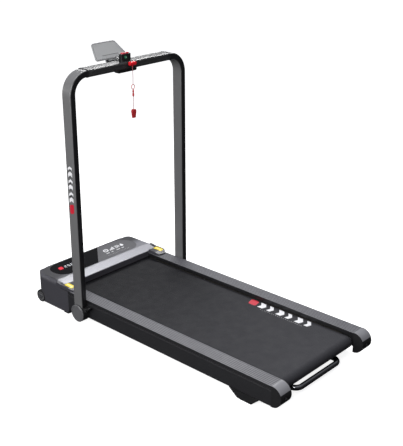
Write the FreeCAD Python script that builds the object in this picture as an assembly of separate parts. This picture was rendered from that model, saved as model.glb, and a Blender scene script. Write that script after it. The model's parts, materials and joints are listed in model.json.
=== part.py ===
"""Folding treadmill with a swing-down handrail, modelled as separate pieces.

Frame: millimetres, +Z up from the floor, +Y towards the motor end (the way the user
faces), +X to the user's right. The origin lies on the floor under the middle of the
treadmill's length and width.
"""
import FreeCAD, Part
import math
import os

V = FreeCAD.Vector
X_AXIS, Y_AXIS, Z_AXIS = V(1, 0, 0), V(0, 1, 0), V(0, 0, 1)

# ---- driving dimensions -------------------------------------------------------------
LENGTH = 1285.0
REAR, FRONT = -LENGTH / 2, LENGTH / 2
HALF_W = 266.5              # half the width of the deck over its side skirts
RAIL_W = 56.5               # width of one foot rail
RAIL_TOP = 110.0
SKIRT_BOTTOM = 32.0
INNER_X = HALF_W - RAIL_W   # inner edge of the foot rail
CAP_LEN = 42.0              # length of the rounded rear corner
RAIL_REAR = REAR + CAP_LEN
RAIL_FRONT = 470.0

BELT_TOP = 90.0
BELT_T = 1.6
BELT_GAP = 0.3              # clearance between a belt and the wheels it passes round
BELT_HALF_W = 207.0
ROLLER_R = 21.0
ROLLER_Z = BELT_TOP - BELT_T - BELT_GAP - ROLLER_R
REAR_ROLLER_Y = -575.0
FRONT_ROLLER_Y = 476.0
SHAFT_R = 8.0
RUN_GAP = 0.05              # radial clearance of a running fit

BEAM_X0, BEAM_X1 = 226.0, 256.0
BEAM_Z0, BEAM_Z1 = 46.0, 96.0
BEAM_END = 570.0

COVER_REAR = 421.0          # rear edge of the cover's side walls
COVER_LIP = 453.0           # rear edge of the cover over the belt
COVER_TOP = 128.0
COVER_BOTTOM = 11.0
COVER_CORNER = 70.0
COVER_HEEL = 14.0           # round at the foot of the cover's rear edge
WALL = 3.0

PIVOT_Y, PIVOT_Z = 327.5, 57.0
HUB_R = 35.0
LEG_IN = HALF_W + 2.0       # inner face of a handrail leg
TUBE_T, TUBE_D = 25.0, 50.0  # handrail tube: thickness and depth along Y
TUBE_R = 6.0
TUBE_WALL = 1.5
BAR_TOP = 997.0             # top of the crossbar's tube
BEND_R = 70.0               # centre-line radius of the handrail's corners
LEG_X = LEG_IN + TUBE_T / 2
BAR_Z = BAR_TOP - TUBE_T / 2
SLEEVE_T = 2.0

WHEEL_R, WHEEL_W = 26.0, 22.0
WHEEL_X, WHEEL_Y, WHEEL_Z = 254.0, 603.0, 27.0

MOTOR_Y, MOTOR_Z, MOTOR_R = 560.0, 68.0, 36.0
PULLEY_X0, PULLEY_X1 = -223.0, -209.0
ROLLER_PULLEY_R, MOTOR_PULLEY_R = 24.0, 11.0
DRIVE_BELT_T = 1.5

CONSOLE_X = -12.5           # middle of the control pod on the bar
TRAY_X = -38.0              # middle of the device tray
HINGE_Y, HINGE_Z = 364.0, 999.0
TRAY_LEAN = 45.0            # degrees from level, rising towards the motor end
KEY_X = -4.0
CORD_D = 2.2

os.makedirs("parts", exist_ok=True)


# ---- geometry helpers ---------------------------------------------------------------
def box(x0, x1, y0, y1, z0, z1):
    return Part.makeBox(x1 - x0, y1 - y0, z1 - z0, V(x0, y0, z0))


def cyl_x(y, z, r, x0, x1):
    return Part.makeCylinder(r, x1 - x0, V(x0, y, z), X_AXIS)


def cyl_y(x, z, r, y0, y1):
    return Part.makeCylinder(r, y1 - y0, V(x, y0, z), Y_AXIS)


def cyl_z(x, y, r, z0, z1):
    return Part.makeCylinder(r, z1 - z0, V(x, y, z0), Z_AXIS)


def ring_x(y, z, r_out, r_in, x0, x1):
    return cyl_x(y, z, r_out, x0, x1).cut(cyl_x(y, z, r_in, x0 - 1, x1 + 1))


def face_of(points, radii=0.0):
    """Flat face with straight sides and a round at each corner that has a radius."""
    n = len(points)
    radii = radii if isinstance(radii, (list, tuple)) else [radii] * n
    ends = []
    for i, corner in enumerate(points):
        to_prev = (points[i - 1] - corner).normalize()
        to_next = (points[(i + 1) % n] - corner).normalize()
        if radii[i] <= 0:
            ends.append((corner, None, corner))
            continue
        half = to_prev.getAngle(to_next) / 2
        reach = radii[i] / math.tan(half)
        bisector = (to_prev + to_next).normalize()
        middle = corner + bisector * (radii[i] / math.sin(half) - radii[i])
        ends.append((corner + to_prev * reach, middle, corner + to_next * reach))
    edges = []
    for i, (start, middle, stop) in enumerate(ends):
        if middle is not None:
            edges.append(Part.Arc(start, middle, stop).toShape())
        following = ends[(i + 1) % n][0]
        if stop.distanceToPoint(following) > 1e-6:
            edges.append(Part.LineSegment(stop, following).toShape())
    return Part.Face(Part.Wire(edges))


def prism_x(points_yz, x0, x1, radii=0.0):
    return face_of([V(x0, y, z) for y, z in points_yz], radii).extrude(V(x1 - x0, 0, 0))


def prism_y(points_xz, y0, y1, radii=0.0):
    return face_of([V(x, y0, z) for x, z in points_xz], radii).extrude(V(0, y1 - y0, 0))


def prism_z(points_xy, z0, z1, radii=0.0):
    return face_of([V(x, y, z0) for x, y in points_xy], radii).extrude(V(0, 0, z1 - z0))


def rect(a0, a1, b0, b1):
    return [(a0, b0), (a1, b0), (a1, b1), (a0, b1)]


def round_box_x(x0, x1, y0, y1, z0, z1, r):
    return prism_x(rect(y0, y1, z0, z1), x0, x1, r)


def round_box_y(x0, x1, y0, y1, z0, z1, r):
    return prism_y(rect(x0, x1, z0, z1), y0, y1, r)


def round_box_z(x0, x1, y0, y1, z0, z1, r):
    return prism_z(rect(x0, x1, y0, y1), z0, z1, r)


def mirrored(shape):
    return shape.mirror(V(0, 0, 0), X_AXIS)


def union(shapes):
    whole = shapes[0]
    for extra in shapes[1:]:
        whole = whole.fuse(extra)
    return whole.removeSplitter()


def minus(shape, cutters):
    for cutter in cutters:
        shape = shape.cut(cutter)
    return shape


def save(name, *solids):
    shape = solids[0] if len(solids) == 1 else Part.makeCompound(list(solids))
    if not shape.isValid() or not all(s.Volume > 0 for s in shape.Solids):
        print("check", name, shape.isValid(), [round(s.Volume, 1) for s in shape.Solids])
    shape.exportStep("parts/" + name + ".step")


def save_pair(name, right):
    """Write a right-hand piece and its mirror image."""
    save(name + "_right", right)
    save(name + "_left", mirrored(right))


def both_sides(shape):
    return [shape, mirrored(shape)]


# ---- deck frame ---------------------------------------------------------------------
HUB_BOSS_R = 18.0
PIVOT_R = 6.0


def side_beam():
    """Steel box beam with shaft holes and a welded boss for the handrail's pivot bolt."""
    wall = 2.0
    y0, y1 = RAIL_REAR, BEAM_END
    tube = box(BEAM_X0, BEAM_X1, y0, y1, BEAM_Z0, BEAM_Z1)
    hollow = box(BEAM_X0 + wall, BEAM_X1 - wall, y0 - 1, y1 + 1, BEAM_Z0 + wall, BEAM_Z1 - wall)
    holes = [cyl_x(y, ROLLER_Z, SHAFT_R, BEAM_X0 - 1, BEAM_X0 + wall + 1)
             for y in (REAR_ROLLER_Y, FRONT_ROLLER_Y)]
    boss = cyl_x(PIVOT_Y, PIVOT_Z, HUB_BOSS_R, BEAM_X1, LEG_IN - 0.2)
    holes.append(cyl_x(PIVOT_Y, PIVOT_Z, PIVOT_R, BEAM_X0 - 1, LEG_IN + 1))
    return minus(union([tube.cut(hollow), boss]), holes)


def side_skirt():
    """Outer panel with a recess line under the foot rail."""
    recess_z, recess_x = 93.0, HALF_W - 5.0
    outline = [(BEAM_X1, SKIRT_BOTTOM), (HALF_W, SKIRT_BOTTOM), (HALF_W, recess_z),
               (recess_x, recess_z), (recess_x, 105.8), (BEAM_X1, 105.8)]
    panel = prism_y(outline, RAIL_REAR, COVER_REAR, [0, 4, 1.5, 0, 0, 0])
    return panel.cut(cyl_x(PIVOT_Y, PIVOT_Z, HUB_BOSS_R, BEAM_X1 - 1, HALF_W + 1))


def foot_rail():
    """Ribbed cover along the top of the side beam, with a lip down its inner edge."""
    plate_t, rib_count, rib_pitch, groove_w, groove_d = 4.0, 6, 8.6, 3.2, 1.0
    plate_z = RAIL_TOP - plate_t
    lip_z, lip_t = 93.5, 2.5
    outline = [(INNER_X, lip_z), (INNER_X + lip_t, lip_z), (INNER_X + lip_t, plate_z),
               (HALF_W, plate_z), (HALF_W, RAIL_TOP), (INNER_X, RAIL_TOP)]
    rail = prism_y(outline, RAIL_REAR, RAIL_FRONT, [0, 0, 0, 0.8, 2.5, 2.5])
    first = INNER_X + (RAIL_W - (rib_count - 1) * rib_pitch) / 2
    grooves = [box(first + i * rib_pitch - groove_w / 2, first + i * rib_pitch + groove_w / 2,
                   RAIL_REAR - 1, RAIL_FRONT + 1, RAIL_TOP - groove_d, RAIL_TOP + 1)
               for i in range(rib_count)]
    return minus(rail, grooves)


CAP_R = (RAIL_TOP - SKIRT_BOTTOM) / 2
CAP_MID_Z = (RAIL_TOP + SKIRT_BOTTOM) / 2
SHELL_T = 2.0
SHELL_END_ANGLE = 24.0      # degrees above level where the light shell ends
ADJUSTER_X = 238.0


def cap_profile(r, x0, x1):
    """Rear corner outline: straight from the rail's end, then half round."""
    y_mid = REAR + CAP_R
    points = [V(x0, RAIL_REAR, CAP_MID_Z - r), V(x0, y_mid, CAP_MID_Z - r)]
    tip = V(x0, y_mid - r, CAP_MID_Z)
    points_up = [V(x0, y_mid, CAP_MID_Z + r), V(x0, RAIL_REAR, CAP_MID_Z + r)]
    edges = [Part.LineSegment(points_up[1], points[0]).toShape(),
             Part.Arc(points[1], tip, points_up[0]).toShape()]
    if abs(points[0].y - points[1].y) > 1e-6:
        edges.insert(1, Part.LineSegment(points[0], points[1]).toShape())
        edges.append(Part.LineSegment(points_up[0], points_up[1]).toShape())
    return Part.Face(Part.Wire(Part.__sortEdges__(edges))).extrude(V(x1 - x0, 0, 0))


def rear_corner():
    """Black corner block and the light shell let into its top."""
    y_mid = REAR + CAP_R
    full = cap_profile(CAP_R, INNER_X, HALF_W)
    inside = cap_profile(CAP_R - SHELL_T, INNER_X - 1, HALF_W + 1)
    angle = math.radians(SHELL_END_ANGLE)
    reach = 2 * CAP_R
    wedge = prism_x([(y_mid, CAP_MID_Z),
                     (y_mid - reach * math.cos(angle), CAP_MID_Z + reach * math.sin(angle)),
                     (y_mid - reach, CAP_MID_Z + reach), (RAIL_REAR + 1, CAP_MID_Z + reach),
                     (RAIL_REAR + 1, CAP_MID_Z)], INNER_X + 1.5, HALF_W - 1.5)
    shell = full.cut(inside).common(wedge)
    bolt_hole = cyl_y(ADJUSTER_X, ROLLER_Z, 4.0, REAR - 1, RAIL_REAR + 1)
    counterbore = cyl_y(ADJUSTER_X, ROLLER_Z, 7.5, REAR - 1, REAR + 12)
    shell = minus(shell, [counterbore])
    block = minus(full, [shell, bolt_hole, counterbore])
    return block, shell


def adjuster_bolt():
    head = cyl_y(ADJUSTER_X, ROLLER_Z, 6.5, REAR + 4, REAR + 12)
    socket = prism_y([(ADJUSTER_X + 3.2 * math.cos(math.radians(60 * i)),
                       ROLLER_Z + 3.2 * math.sin(math.radians(60 * i))) for i in range(6)],
                     REAR + 3, REAR + 8)
    shank = cyl_y(ADJUSTER_X, ROLLER_Z, 4.0, REAR + 12, REAR_ROLLER_Y - SHAFT_R - 6)
    return union([head.cut(socket), shank])


def shaft_block():
    """Block inside the rear end of the beam that the adjuster bolt pulls back."""
    y0 = REAR_ROLLER_Y - SHAFT_R - 6
    block = box(BEAM_X0 + 2, BEAM_X1 - 2, y0, REAR_ROLLER_Y + SHAFT_R + 6,
                ROLLER_Z - 14, ROLLER_Z + 14)
    return block.cut(cyl_x(REAR_ROLLER_Y, ROLLER_Z, SHAFT_R, BEAM_X0, BEAM_X1))


def roller_shaft(y, half_length):
    return cyl_x(y, ROLLER_Z, SHAFT_R, -half_length, half_length)


def roller_tube(y):
    return ring_x(y, ROLLER_Z, ROLLER_R, ROLLER_R - 3, -BELT_HALF_W - 2, BELT_HALF_W + 2)


def roller_bearings(y):
    right = ring_x(y, ROLLER_Z, ROLLER_R - 3, SHAFT_R + RUN_GAP, BELT_HALF_W - 12,
                   BELT_HALF_W + 2)
    return both_sides(right)


def belt_loop(y0, y1, z0, z1, r0, r1, thickness, x0, x1):
    """Closed belt round two wheels: outer outline less the inner one."""
    def outline(extra):
        ra, rb = r0 + extra, r1 + extra
        dy, dz = y1 - y0, z1 - z0
        distance = math.hypot(dy, dz)
        base = math.atan2(dz, dy)
        lean = math.acos((ra - rb) / distance)
        up, down = base + lean, base - lean

        def at(y, z, r, angle):
            return V(x0, y + r * math.cos(angle), z + r * math.sin(angle))
        a_up, a_down = at(y0, z0, ra, up), at(y0, z0, ra, down)
        b_up, b_down = at(y1, z1, rb, up), at(y1, z1, rb, down)
        edges = [Part.Arc(a_up, at(y0, z0, ra, base + math.pi), a_down).toShape(),
                 Part.LineSegment(a_down, b_down).toShape(),
                 Part.Arc(b_down, at(y1, z1, rb, base), b_up).toShape(),
                 Part.LineSegment(b_up, a_up).toShape()]
        return Part.Face(Part.Wire(edges)).extrude(V(x1 - x0, 0, 0))
    return outline(BELT_GAP + thickness).cut(outline(BELT_GAP))


BOARD_Z0, BOARD_Z1 = 73.0, BELT_TOP - BELT_T - 0.4
CROSS_Z0, CROSS_Z1 = 50.0, 68.0
CROSS_YS = (-470.0, -170.0, 130.0, 420.0)


def cross_members():
    tubes = []
    for y in CROSS_YS:
        outer = box(-BEAM_X0, BEAM_X0, y - 15, y + 15, CROSS_Z0, CROSS_Z1)
        tubes.append(outer.cut(box(-BEAM_X0 - 1, BEAM_X0 + 1, y - 13, y + 13,
                                   CROSS_Z0 + 2, CROSS_Z1 - 2)))
    return tubes


def deck_cushions():
    return [cyl_z(side * 190.0, y, 13.0, CROSS_Z1, BOARD_Z0)
            for y in CROSS_YS for side in (-1, 1)]


def deck_screws():
    """Countersunk screws that hold the board down through each cushion."""
    screws = []
    for y in CROSS_YS:
        for x in (-212.0, 212.0):
            head = Part.makeCone(3.0, 6.0, 3.0, V(x, y, BOARD_Z1 - 3.0), Z_AXIS)
            screws.append(head.fuse(cyl_z(x, y, 3.0, CROSS_Z1, BOARD_Z1 - 3.0)))
    return screws


def running_board():
    board = box(-220, 220, -546, 448, BOARD_Z0, BOARD_Z1)
    for y in CROSS_YS:
        for x in (-212.0, 212.0):
            board = board.cut(cyl_z(x, y, 3.0, BOARD_Z0 - 1, BOARD_Z1))
            board = board.cut(Part.makeCone(3.0, 6.0, 3.0, V(x, y, BOARD_Z1 - 3.0), Z_AXIS))
    return board


HANDLE_Z, HANDLE_R, HANDLE_X, HANDLE_Y = 33.0, 10.0, 128.0, -603.0
REAR_TUBE_Y0, REAR_TUBE_Y1 = -542.0, -516.0


def rear_crossmember():
    """Low tube across the rear and the two end plates that hang it from the beams."""
    outer = box(-BEAM_X0 + 4, BEAM_X0 - 4, REAR_TUBE_Y0, REAR_TUBE_Y1, 22.0, 43.5)
    tube = outer.cut(box(-BEAM_X0, BEAM_X0, REAR_TUBE_Y0 + 2, REAR_TUBE_Y1 - 2, 24.0, 41.5))
    plate = box(BEAM_X0 - 4, BEAM_X0, REAR_TUBE_Y0 - 6, REAR_TUBE_Y1 + 6, 22.0, 80.0)
    return [tube] + both_sides(plate)


def u_tube(points, radius, corner_r):
    """Round tube along a flat U: straight runs with quarter-round corners."""
    a, b, c, d = points
    pieces = []
    legs = [(a, b), (b, c), (c, d)]
    for i, (start, stop) in enumerate(legs):
        along = (stop - start).normalize()
        p = start if i == 0 else start + along * corner_r
        q = stop if i == 2 else stop - along * corner_r
        pieces.append(Part.makeCylinder(radius, p.distanceToPoint(q), p, along))
    for corner, before, after in ((b, a, c), (c, b, d)):
        into = (corner - before).normalize()
        out = (after - corner).normalize()
        centre = corner - into * corner_r + out * corner_r
        start = corner - into * corner_r
        circle = Part.Face(Part.Wire(Part.makeCircle(radius, start, into)))
        pieces.append(circle.revolve(centre, into.cross(out), 90))
    return union(pieces)


def rear_handle():
    y_end = REAR_TUBE_Y0
    points = [V(-HANDLE_X, y_end, HANDLE_Z), V(-HANDLE_X, HANDLE_Y, HANDLE_Z),
              V(HANDLE_X, HANDLE_Y, HANDLE_Z), V(HANDLE_X, y_end, HANDLE_Z)]
    return u_tube(points, HANDLE_R, 28.0)


FOOT_Y0, FOOT_Y1 = -550.5, -420.5


def rear_foot():
    """Wedge-shaped moulded foot under the skirt."""
    low0, low1, pad_z = FOOT_Y0 + 31, FOOT_Y1 - 37, 4.0
    outline = [(FOOT_Y0, SKIRT_BOTTOM), (low0, pad_z), (low1, pad_z), (FOOT_Y1, SKIRT_BOTTOM)]
    body = prism_x(outline, BEAM_X0, HALF_W, [0, 5, 9, 0])
    hollow = prism_x([(FOOT_Y0 + 14, SKIRT_BOTTOM), (low0 + 4, pad_z + 6),
                      (low1 - 4, pad_z + 6), (FOOT_Y1 - 14, SKIRT_BOTTOM)],
                     BEAM_X0 + 3, HALF_W - 3)
    return body.cut(hollow)


def foot_pads():
    rear = round_box_z(BEAM_X0 + 4, HALF_W - 3, FOOT_Y0 + 34, FOOT_Y1 - 42, 0, 4, 5)
    y0 = COVER_REAR + COVER_HEEL + 1
    front = round_box_z(BEAM_X0 + 2, BEAM_X1 + 2, y0, y0 + 30, 0, COVER_BOTTOM, 5)
    return both_sides(rear) + both_sides(front)


# ---- motor bay ----------------------------------------------------------------------
SCREW_XS, SCREW_Y = (-200.0, -70.0, 70.0, 200.0), 629.0
SCREW_TOP = COVER_BOTTOM + 24.0


PANEL_X, PANEL_Y0, PANEL_Y1, PANEL_R = 220.0, 505.0, 625.0, 56.0
BEZEL_X, BEZEL_Y1, BEZEL_R = 253.0, 631.0, 58.0
BEZEL_BEND = 500.0          # where the trim starts to slope down towards the belt
ARM_TIP = 392.0             # rear tip of each arm that lies on a foot rail
ARM_TOP = 124.0
LIP_Z = COVER_TOP - 11.0     # underside of the trim where it meets the lip
ARCH_R = WHEEL_R + 4.0


def cover_block(inset):
    """Solid outline of the cover, drawn in on every side by the inset."""
    bottom = COVER_BOTTOM - (1 if inset else 0)
    top, y_rear = COVER_TOP - inset, COVER_REAR + inset
    w, front = HALF_W - inset, FRONT - inset
    corner, crown, nose = COVER_CORNER - inset, 17.0 - inset, 19.0 - inset
    heel = COVER_HEEL - inset
    plan = prism_z(rect(-w, w, y_rear, front), bottom, top, [0, 0, corner, corner])
    across = prism_y(rect(-w, w, bottom, top), y_rear, front, [0, 0, crown, crown])
    along = prism_x(rect(y_rear, front, bottom, top), -w, w, [heel, 0, nose, 0])
    return plan.common(across).common(along)


def cover_arm():
    """Arm over the foot rail, rounded at its tip and sloping down to it."""
    x0, x1, y1 = INNER_X + 2.5, HALF_W, COVER_LIP + 40
    flat = prism_z(rect(x0, x1, ARM_TIP, y1), RAIL_TOP + 0.3, COVER_TOP, [24.0, 26.0, 0, 0])
    slope = prism_x([(ARM_TIP, RAIL_TOP), (ARM_TIP, RAIL_TOP + 5), (ARM_TIP + 26, ARM_TOP),
                     (COVER_LIP + 10, ARM_TOP), (y1, COVER_TOP), (y1, RAIL_TOP)],
                    x0, x1, [0, 3, 20, 20, 0, 0])
    return flat.common(slope)


def bezel_plan():
    return prism_z(rect(-BEZEL_X, BEZEL_X, COVER_LIP, BEZEL_Y1), COVER_TOP - 20,
                   COVER_TOP + 5, [14.0, 14.0, BEZEL_R, BEZEL_R])


def bezel_block():
    """Outline of the light trim, its rear band sloping down towards the belt."""
    level = prism_x([(COVER_LIP, LIP_Z), (COVER_LIP, LIP_Z + 3.5),
                     (BEZEL_BEND, COVER_TOP + 0.8), (BEZEL_Y1, COVER_TOP + 0.8),
                     (BEZEL_Y1, COVER_TOP - 2), (BEZEL_BEND, COVER_TOP - 2)],
                    -BEZEL_X, BEZEL_X, [0, 1.5, 12, 0, 0, 0])
    return bezel_plan().common(level)


def bezel_recess():
    """Room for the trim, cut out of the cover down to the wall that backs it."""
    room = prism_x([(COVER_LIP, LIP_Z), (COVER_LIP, COVER_TOP + 5), (BEZEL_Y1, COVER_TOP + 5),
                    (BEZEL_Y1, COVER_TOP - 2), (BEZEL_BEND, COVER_TOP - 2)],
                   -BEZEL_X, BEZEL_X)
    return bezel_plan().common(room)


def cover_slope():
    """Sloping wall of the cover under the trim's rear band."""
    y1 = BEZEL_BEND + 12
    return prism_x([(COVER_LIP, LIP_Z - WALL), (COVER_LIP, LIP_Z), (BEZEL_BEND, COVER_TOP - 2),
                    (y1, COVER_TOP - 2), (y1, COVER_TOP - 2 - WALL),
                    (BEZEL_BEND, COVER_TOP - 2 - WALL)], -BEZEL_X, BEZEL_X)


def motor_cover():
    shell = cover_block(0.0).cut(cover_block(WALL))
    in_x = INNER_X + 2.5
    under_belt = box(-BEAM_X1, BEAM_X1, COVER_REAR - 1, RAIL_FRONT + 3, 0, RAIL_TOP - 4.5)
    belt_gap = box(-in_x, in_x, COVER_REAR - 1, COVER_LIP, 0, COVER_TOP + 1)
    lip = box(-in_x, in_x, COVER_LIP, COVER_LIP + WALL, BELT_TOP + 4, LIP_Z)
    rail_slot = box(INNER_X - 0.3, HALF_W + 1, COVER_REAR - 1, RAIL_FRONT + 0.3,
                    RAIL_TOP - 4.2, RAIL_TOP + 0.3)
    rail_slot = rail_slot.fuse(box(INNER_X - 0.3, in_x + 0.3, COVER_REAR - 1,
                                   RAIL_FRONT + 0.3, 0, RAIL_TOP + 0.3))
    above_rail = box(in_x, HALF_W + 1, COVER_REAR - 1, COVER_LIP + 12, RAIL_TOP,
                     COVER_TOP + 1)
    shell = minus(shell, [under_belt, belt_gap] + both_sides(above_rail))
    whole = minus(union([shell, lip, cover_slope()]), both_sides(rail_slot))
    whole = union([whole] + both_sides(cover_arm()))
    arches = both_sides(cyl_x(WHEEL_Y, WHEEL_Z, ARCH_R, 200.0, HALF_W + 1))
    sockets = [box(x - half, x + half, FRONT - 10, FRONT + 1, INLET_Z - 11, INLET_Z + 11)
               for x, half in ((INLET_X, 15), (SWITCH_X, 8))]
    whole = union([minus(whole, [bezel_recess()] + arches + sockets)] + cover_bosses())
    return minus(whole, [cyl_z(x, SCREW_Y, 2.0, 0, SCREW_TOP) for x in SCREW_XS])


def cover_bosses():
    """Screw posts inside the cover's front wall."""
    z0, z1 = COVER_BOTTOM + WALL, COVER_BOTTOM + 40
    posts = [cyl_z(x, SCREW_Y, 5.0, z0, z1) for x in SCREW_XS]
    webs = [box(x - 1.5, x + 1.5, SCREW_Y, FRONT - WALL + 1, z0, z1) for x in SCREW_XS]
    return posts + webs


def cover_screws():
    """Screws driven up through the base pan into the cover's posts."""
    return [union([cyl_z(x, SCREW_Y, 2.0, COVER_BOTTOM - 2, SCREW_TOP),
                   cyl_z(x, SCREW_Y, 4.0, COVER_BOTTOM - 2, COVER_BOTTOM)])
            for x in SCREW_XS]


def cover_bezel():
    window = round_box_z(-PANEL_X, PANEL_X, PANEL_Y0, PANEL_Y1, COVER_TOP - 5,
                         COVER_TOP + 5, PANEL_R)
    return bezel_block().cut(window)


def display_panels():
    """Gloss window and matt icon panel, split along a slanted line."""
    plate = round_box_z(-PANEL_X, PANEL_X, PANEL_Y0, PANEL_Y1, COVER_TOP - 2.0,
                        COVER_TOP + 0.3, PANEL_R)
    left_of_line = prism_z([(-PANEL_X - 5, PANEL_Y0 - 5), (-35, PANEL_Y0 - 5),
                            (72, PANEL_Y1 + 5), (-PANEL_X - 5, PANEL_Y1 + 5)],
                           COVER_TOP - 3, COVER_TOP + 3)
    return plate.common(left_of_line), plate.cut(left_of_line)


# ---- power inlet and switch, on the front face of the cover -------------------------
INLET_X, INLET_Z, SWITCH_X = 150.0, 82.0, 118.0


def power_inlet():
    """Recessed three-pin appliance inlet."""
    body = box(INLET_X - 15, INLET_X + 15, FRONT - 22, FRONT, INLET_Z - 11, INLET_Z + 11)
    cavity = box(INLET_X - 12, INLET_X + 12, FRONT - 17, FRONT + 1, INLET_Z - 8, INLET_Z + 8)
    pins = [box(INLET_X + dx - 1, INLET_X + dx + 1, FRONT - 17, FRONT - 8,
                INLET_Z + dz - 2, INLET_Z + dz + 2) for dx, dz in ((-7, -2), (0, 3), (7, -2))]
    return union([body.cut(cavity)] + pins)


def switch_frame():
    outer = box(SWITCH_X - 8, SWITCH_X + 8, FRONT - 16, FRONT, INLET_Z - 11, INLET_Z + 11)
    return outer.cut(box(SWITCH_X - 6, SWITCH_X + 6, FRONT - 14, FRONT + 1,
                         INLET_Z - 9, INLET_Z + 9))


def rocker_key():
    """Rocker that pivots in the switch frame, pressed in at its lower end."""
    y = FRONT - 6.0
    return prism_x([(y - 3, INLET_Z - 4), (FRONT - 3.4, INLET_Z - 7.5), (FRONT - 1.5, INLET_Z),
                    (FRONT - 0.2, INLET_Z + 7.5), (y - 3, INLET_Z + 4)],
                   SWITCH_X - 5.6, SWITCH_X + 5.6)


def base_pan():
    """Floor of the motor bay, with wheel wells and upstands to the side beams."""
    floor_z = COVER_BOTTOM + WALL
    w = BEAM_X1 + 2
    rear = COVER_REAR + COVER_HEEL
    floor = prism_z([(-w, rear), (w, rear), (w, FRONT - WALL - 0.5),
                     (-w, FRONT - WALL - 0.5)], COVER_BOTTOM, floor_z, [0, 0, 38, 38])
    floor = minus(floor, both_sides(box(200, 300, WHEEL_Y - ARCH_R, FRONT, 0, floor_z + 1)))
    posts = []
    for y in (COVER_REAR + 20, 555.0):
        posts += both_sides(box(BEAM_X0, BEAM_X1, y, y + 18, floor_z, BEAM_Z0))
    holes = [cyl_z(x, SCREW_Y, 2.0, 0, floor_z + 1) for x in SCREW_XS]
    return minus(union([floor] + posts), holes)


FORK_T = 2.5
AXLE_R = 4.0


def wheel_fork():
    """Plate on the inner face of the beam's front end that carries one wheel's axle."""
    cheek = prism_x([(WHEEL_Y - 9, WHEEL_Z - 8), (WHEEL_Y + 9, WHEEL_Z - 8),
                     (WHEEL_Y + 9, WHEEL_Z + 12), (BEAM_END, 92.0), (BEAM_END - 42, 92.0),
                     (BEAM_END - 42, 56.0)],
                    BEAM_X0 - FORK_T, BEAM_X0, [7, 7, 8, 3, 3, 8])
    return cheek.cut(cyl_x(WHEEL_Y, WHEEL_Z, AXLE_R, BEAM_X0 - FORK_T - 1, BEAM_X0 + 1))


def wheel_axle():
    """Axle with its nut, spacer and head; the wheel turns between the last two."""
    x_nut, x_end = BEAM_X0 - FORK_T, WHEEL_X + WHEEL_W / 2
    axle = cyl_x(WHEEL_Y, WHEEL_Z, AXLE_R, x_nut - 5, x_end + 0.6)
    nut = cyl_x(WHEEL_Y, WHEEL_Z, 6.5, x_nut - 4, x_nut)
    spacer = cyl_x(WHEEL_Y, WHEEL_Z, 6.5, BEAM_X0, WHEEL_X - WHEEL_W / 2 - 0.5)
    head = cyl_x(WHEEL_Y, WHEEL_Z, 6.5, x_end - 1.4, x_end + 1)
    return union([axle, nut, spacer, head])


def wheel_rim():
    x0, x1 = WHEEL_X - WHEEL_W / 2, WHEEL_X + WHEEL_W / 2
    rim = cyl_x(WHEEL_Y, WHEEL_Z, WHEEL_R - 6, x0 + 1, x1 - 1)
    dish = ring_x(WHEEL_Y, WHEEL_Z, WHEEL_R - 9, 9.0, x1 - 5, x1)
    rim = minus(rim, [dish, cyl_x(WHEEL_Y, WHEEL_Z, AXLE_R + RUN_GAP, x0, x1),
                      cyl_x(WHEEL_Y, WHEEL_Z, 7.0, x1 - 2.6, x1)])
    spokes = [box(x1 - 5, x1 - 2, WHEEL_Y - 1.5, WHEEL_Y + 1.5, WHEEL_Z + 8, WHEEL_Z + 18)]
    for i in range(1, 5):
        spoke = spokes[0].copy()
        spoke.rotate(V(0, WHEEL_Y, WHEEL_Z), X_AXIS, 72 * i)
        spokes.append(spoke)
    return union([rim] + spokes)


def wheel_tyre():
    x0, x1 = WHEEL_X - WHEEL_W / 2, WHEEL_X + WHEEL_W / 2
    profile = face_of([V(x0, WHEEL_Y, WHEEL_Z + WHEEL_R - 6), V(x1, WHEEL_Y, WHEEL_Z + WHEEL_R - 6),
                       V(x1, WHEEL_Y, WHEEL_Z + WHEEL_R), V(x0, WHEEL_Y, WHEEL_Z + WHEEL_R)],
                      [0, 0, 4, 4])
    return profile.revolve(V(0, WHEEL_Y, WHEEL_Z), X_AXIS, 360)


# ---- drive --------------------------------------------------------------------------
CAN_X0, CAN_X1 = -120.0, 40.0
MOTOR_SHAFT_R = 6.0


def motor_body():
    can = cyl_x(MOTOR_Y, MOTOR_Z, MOTOR_R, CAN_X0, CAN_X1)
    inside = cyl_x(MOTOR_Y, MOTOR_Z, MOTOR_R - 3, CAN_X0 + 6, CAN_X1 - 6)
    end_bell = cyl_x(MOTOR_Y, MOTOR_Z, MOTOR_R - 5, CAN_X1, CAN_X1 + 8)
    shell = union([can.cut(inside), end_bell])
    return shell.cut(cyl_x(MOTOR_Y, MOTOR_Z, MOTOR_SHAFT_R + RUN_GAP, CAN_X0 - 1, CAN_X1 + 9))


def motor_rotor():
    """Shaft with the armature, the flywheel and the small pulley as separate solids."""
    shaft = cyl_x(MOTOR_Y, MOTOR_Z, MOTOR_SHAFT_R, PULLEY_X0, CAN_X1 + 14)
    armature = ring_x(MOTOR_Y, MOTOR_Z, MOTOR_R - 8, MOTOR_SHAFT_R, CAN_X0 + 18, CAN_X1 - 18)
    return [shaft, armature]


def grooved_pulley(y, z, r, bore, rib_count=5):
    width = PULLEY_X1 - PULLEY_X0
    pulley = ring_x(y, z, r, bore, PULLEY_X0, PULLEY_X1)
    pitch = (width - 4) / rib_count
    for i in range(rib_count + 1):
        x = PULLEY_X0 + 2 + i * pitch
        pulley = pulley.cut(ring_x(y, z, r + 1, r - 1.0, x - 0.5, x + 0.5))
    return pulley


def flywheel():
    wheel = ring_x(MOTOR_Y, MOTOR_Z, 40.0, MOTOR_SHAFT_R, -150, -136)
    holes = [cyl_x(MOTOR_Y + 24 * math.cos(math.radians(60 * i)),
                   MOTOR_Z + 24 * math.sin(math.radians(60 * i)), 6.0, -151, -135)
             for i in range(6)]
    return minus(wheel, holes)


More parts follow.
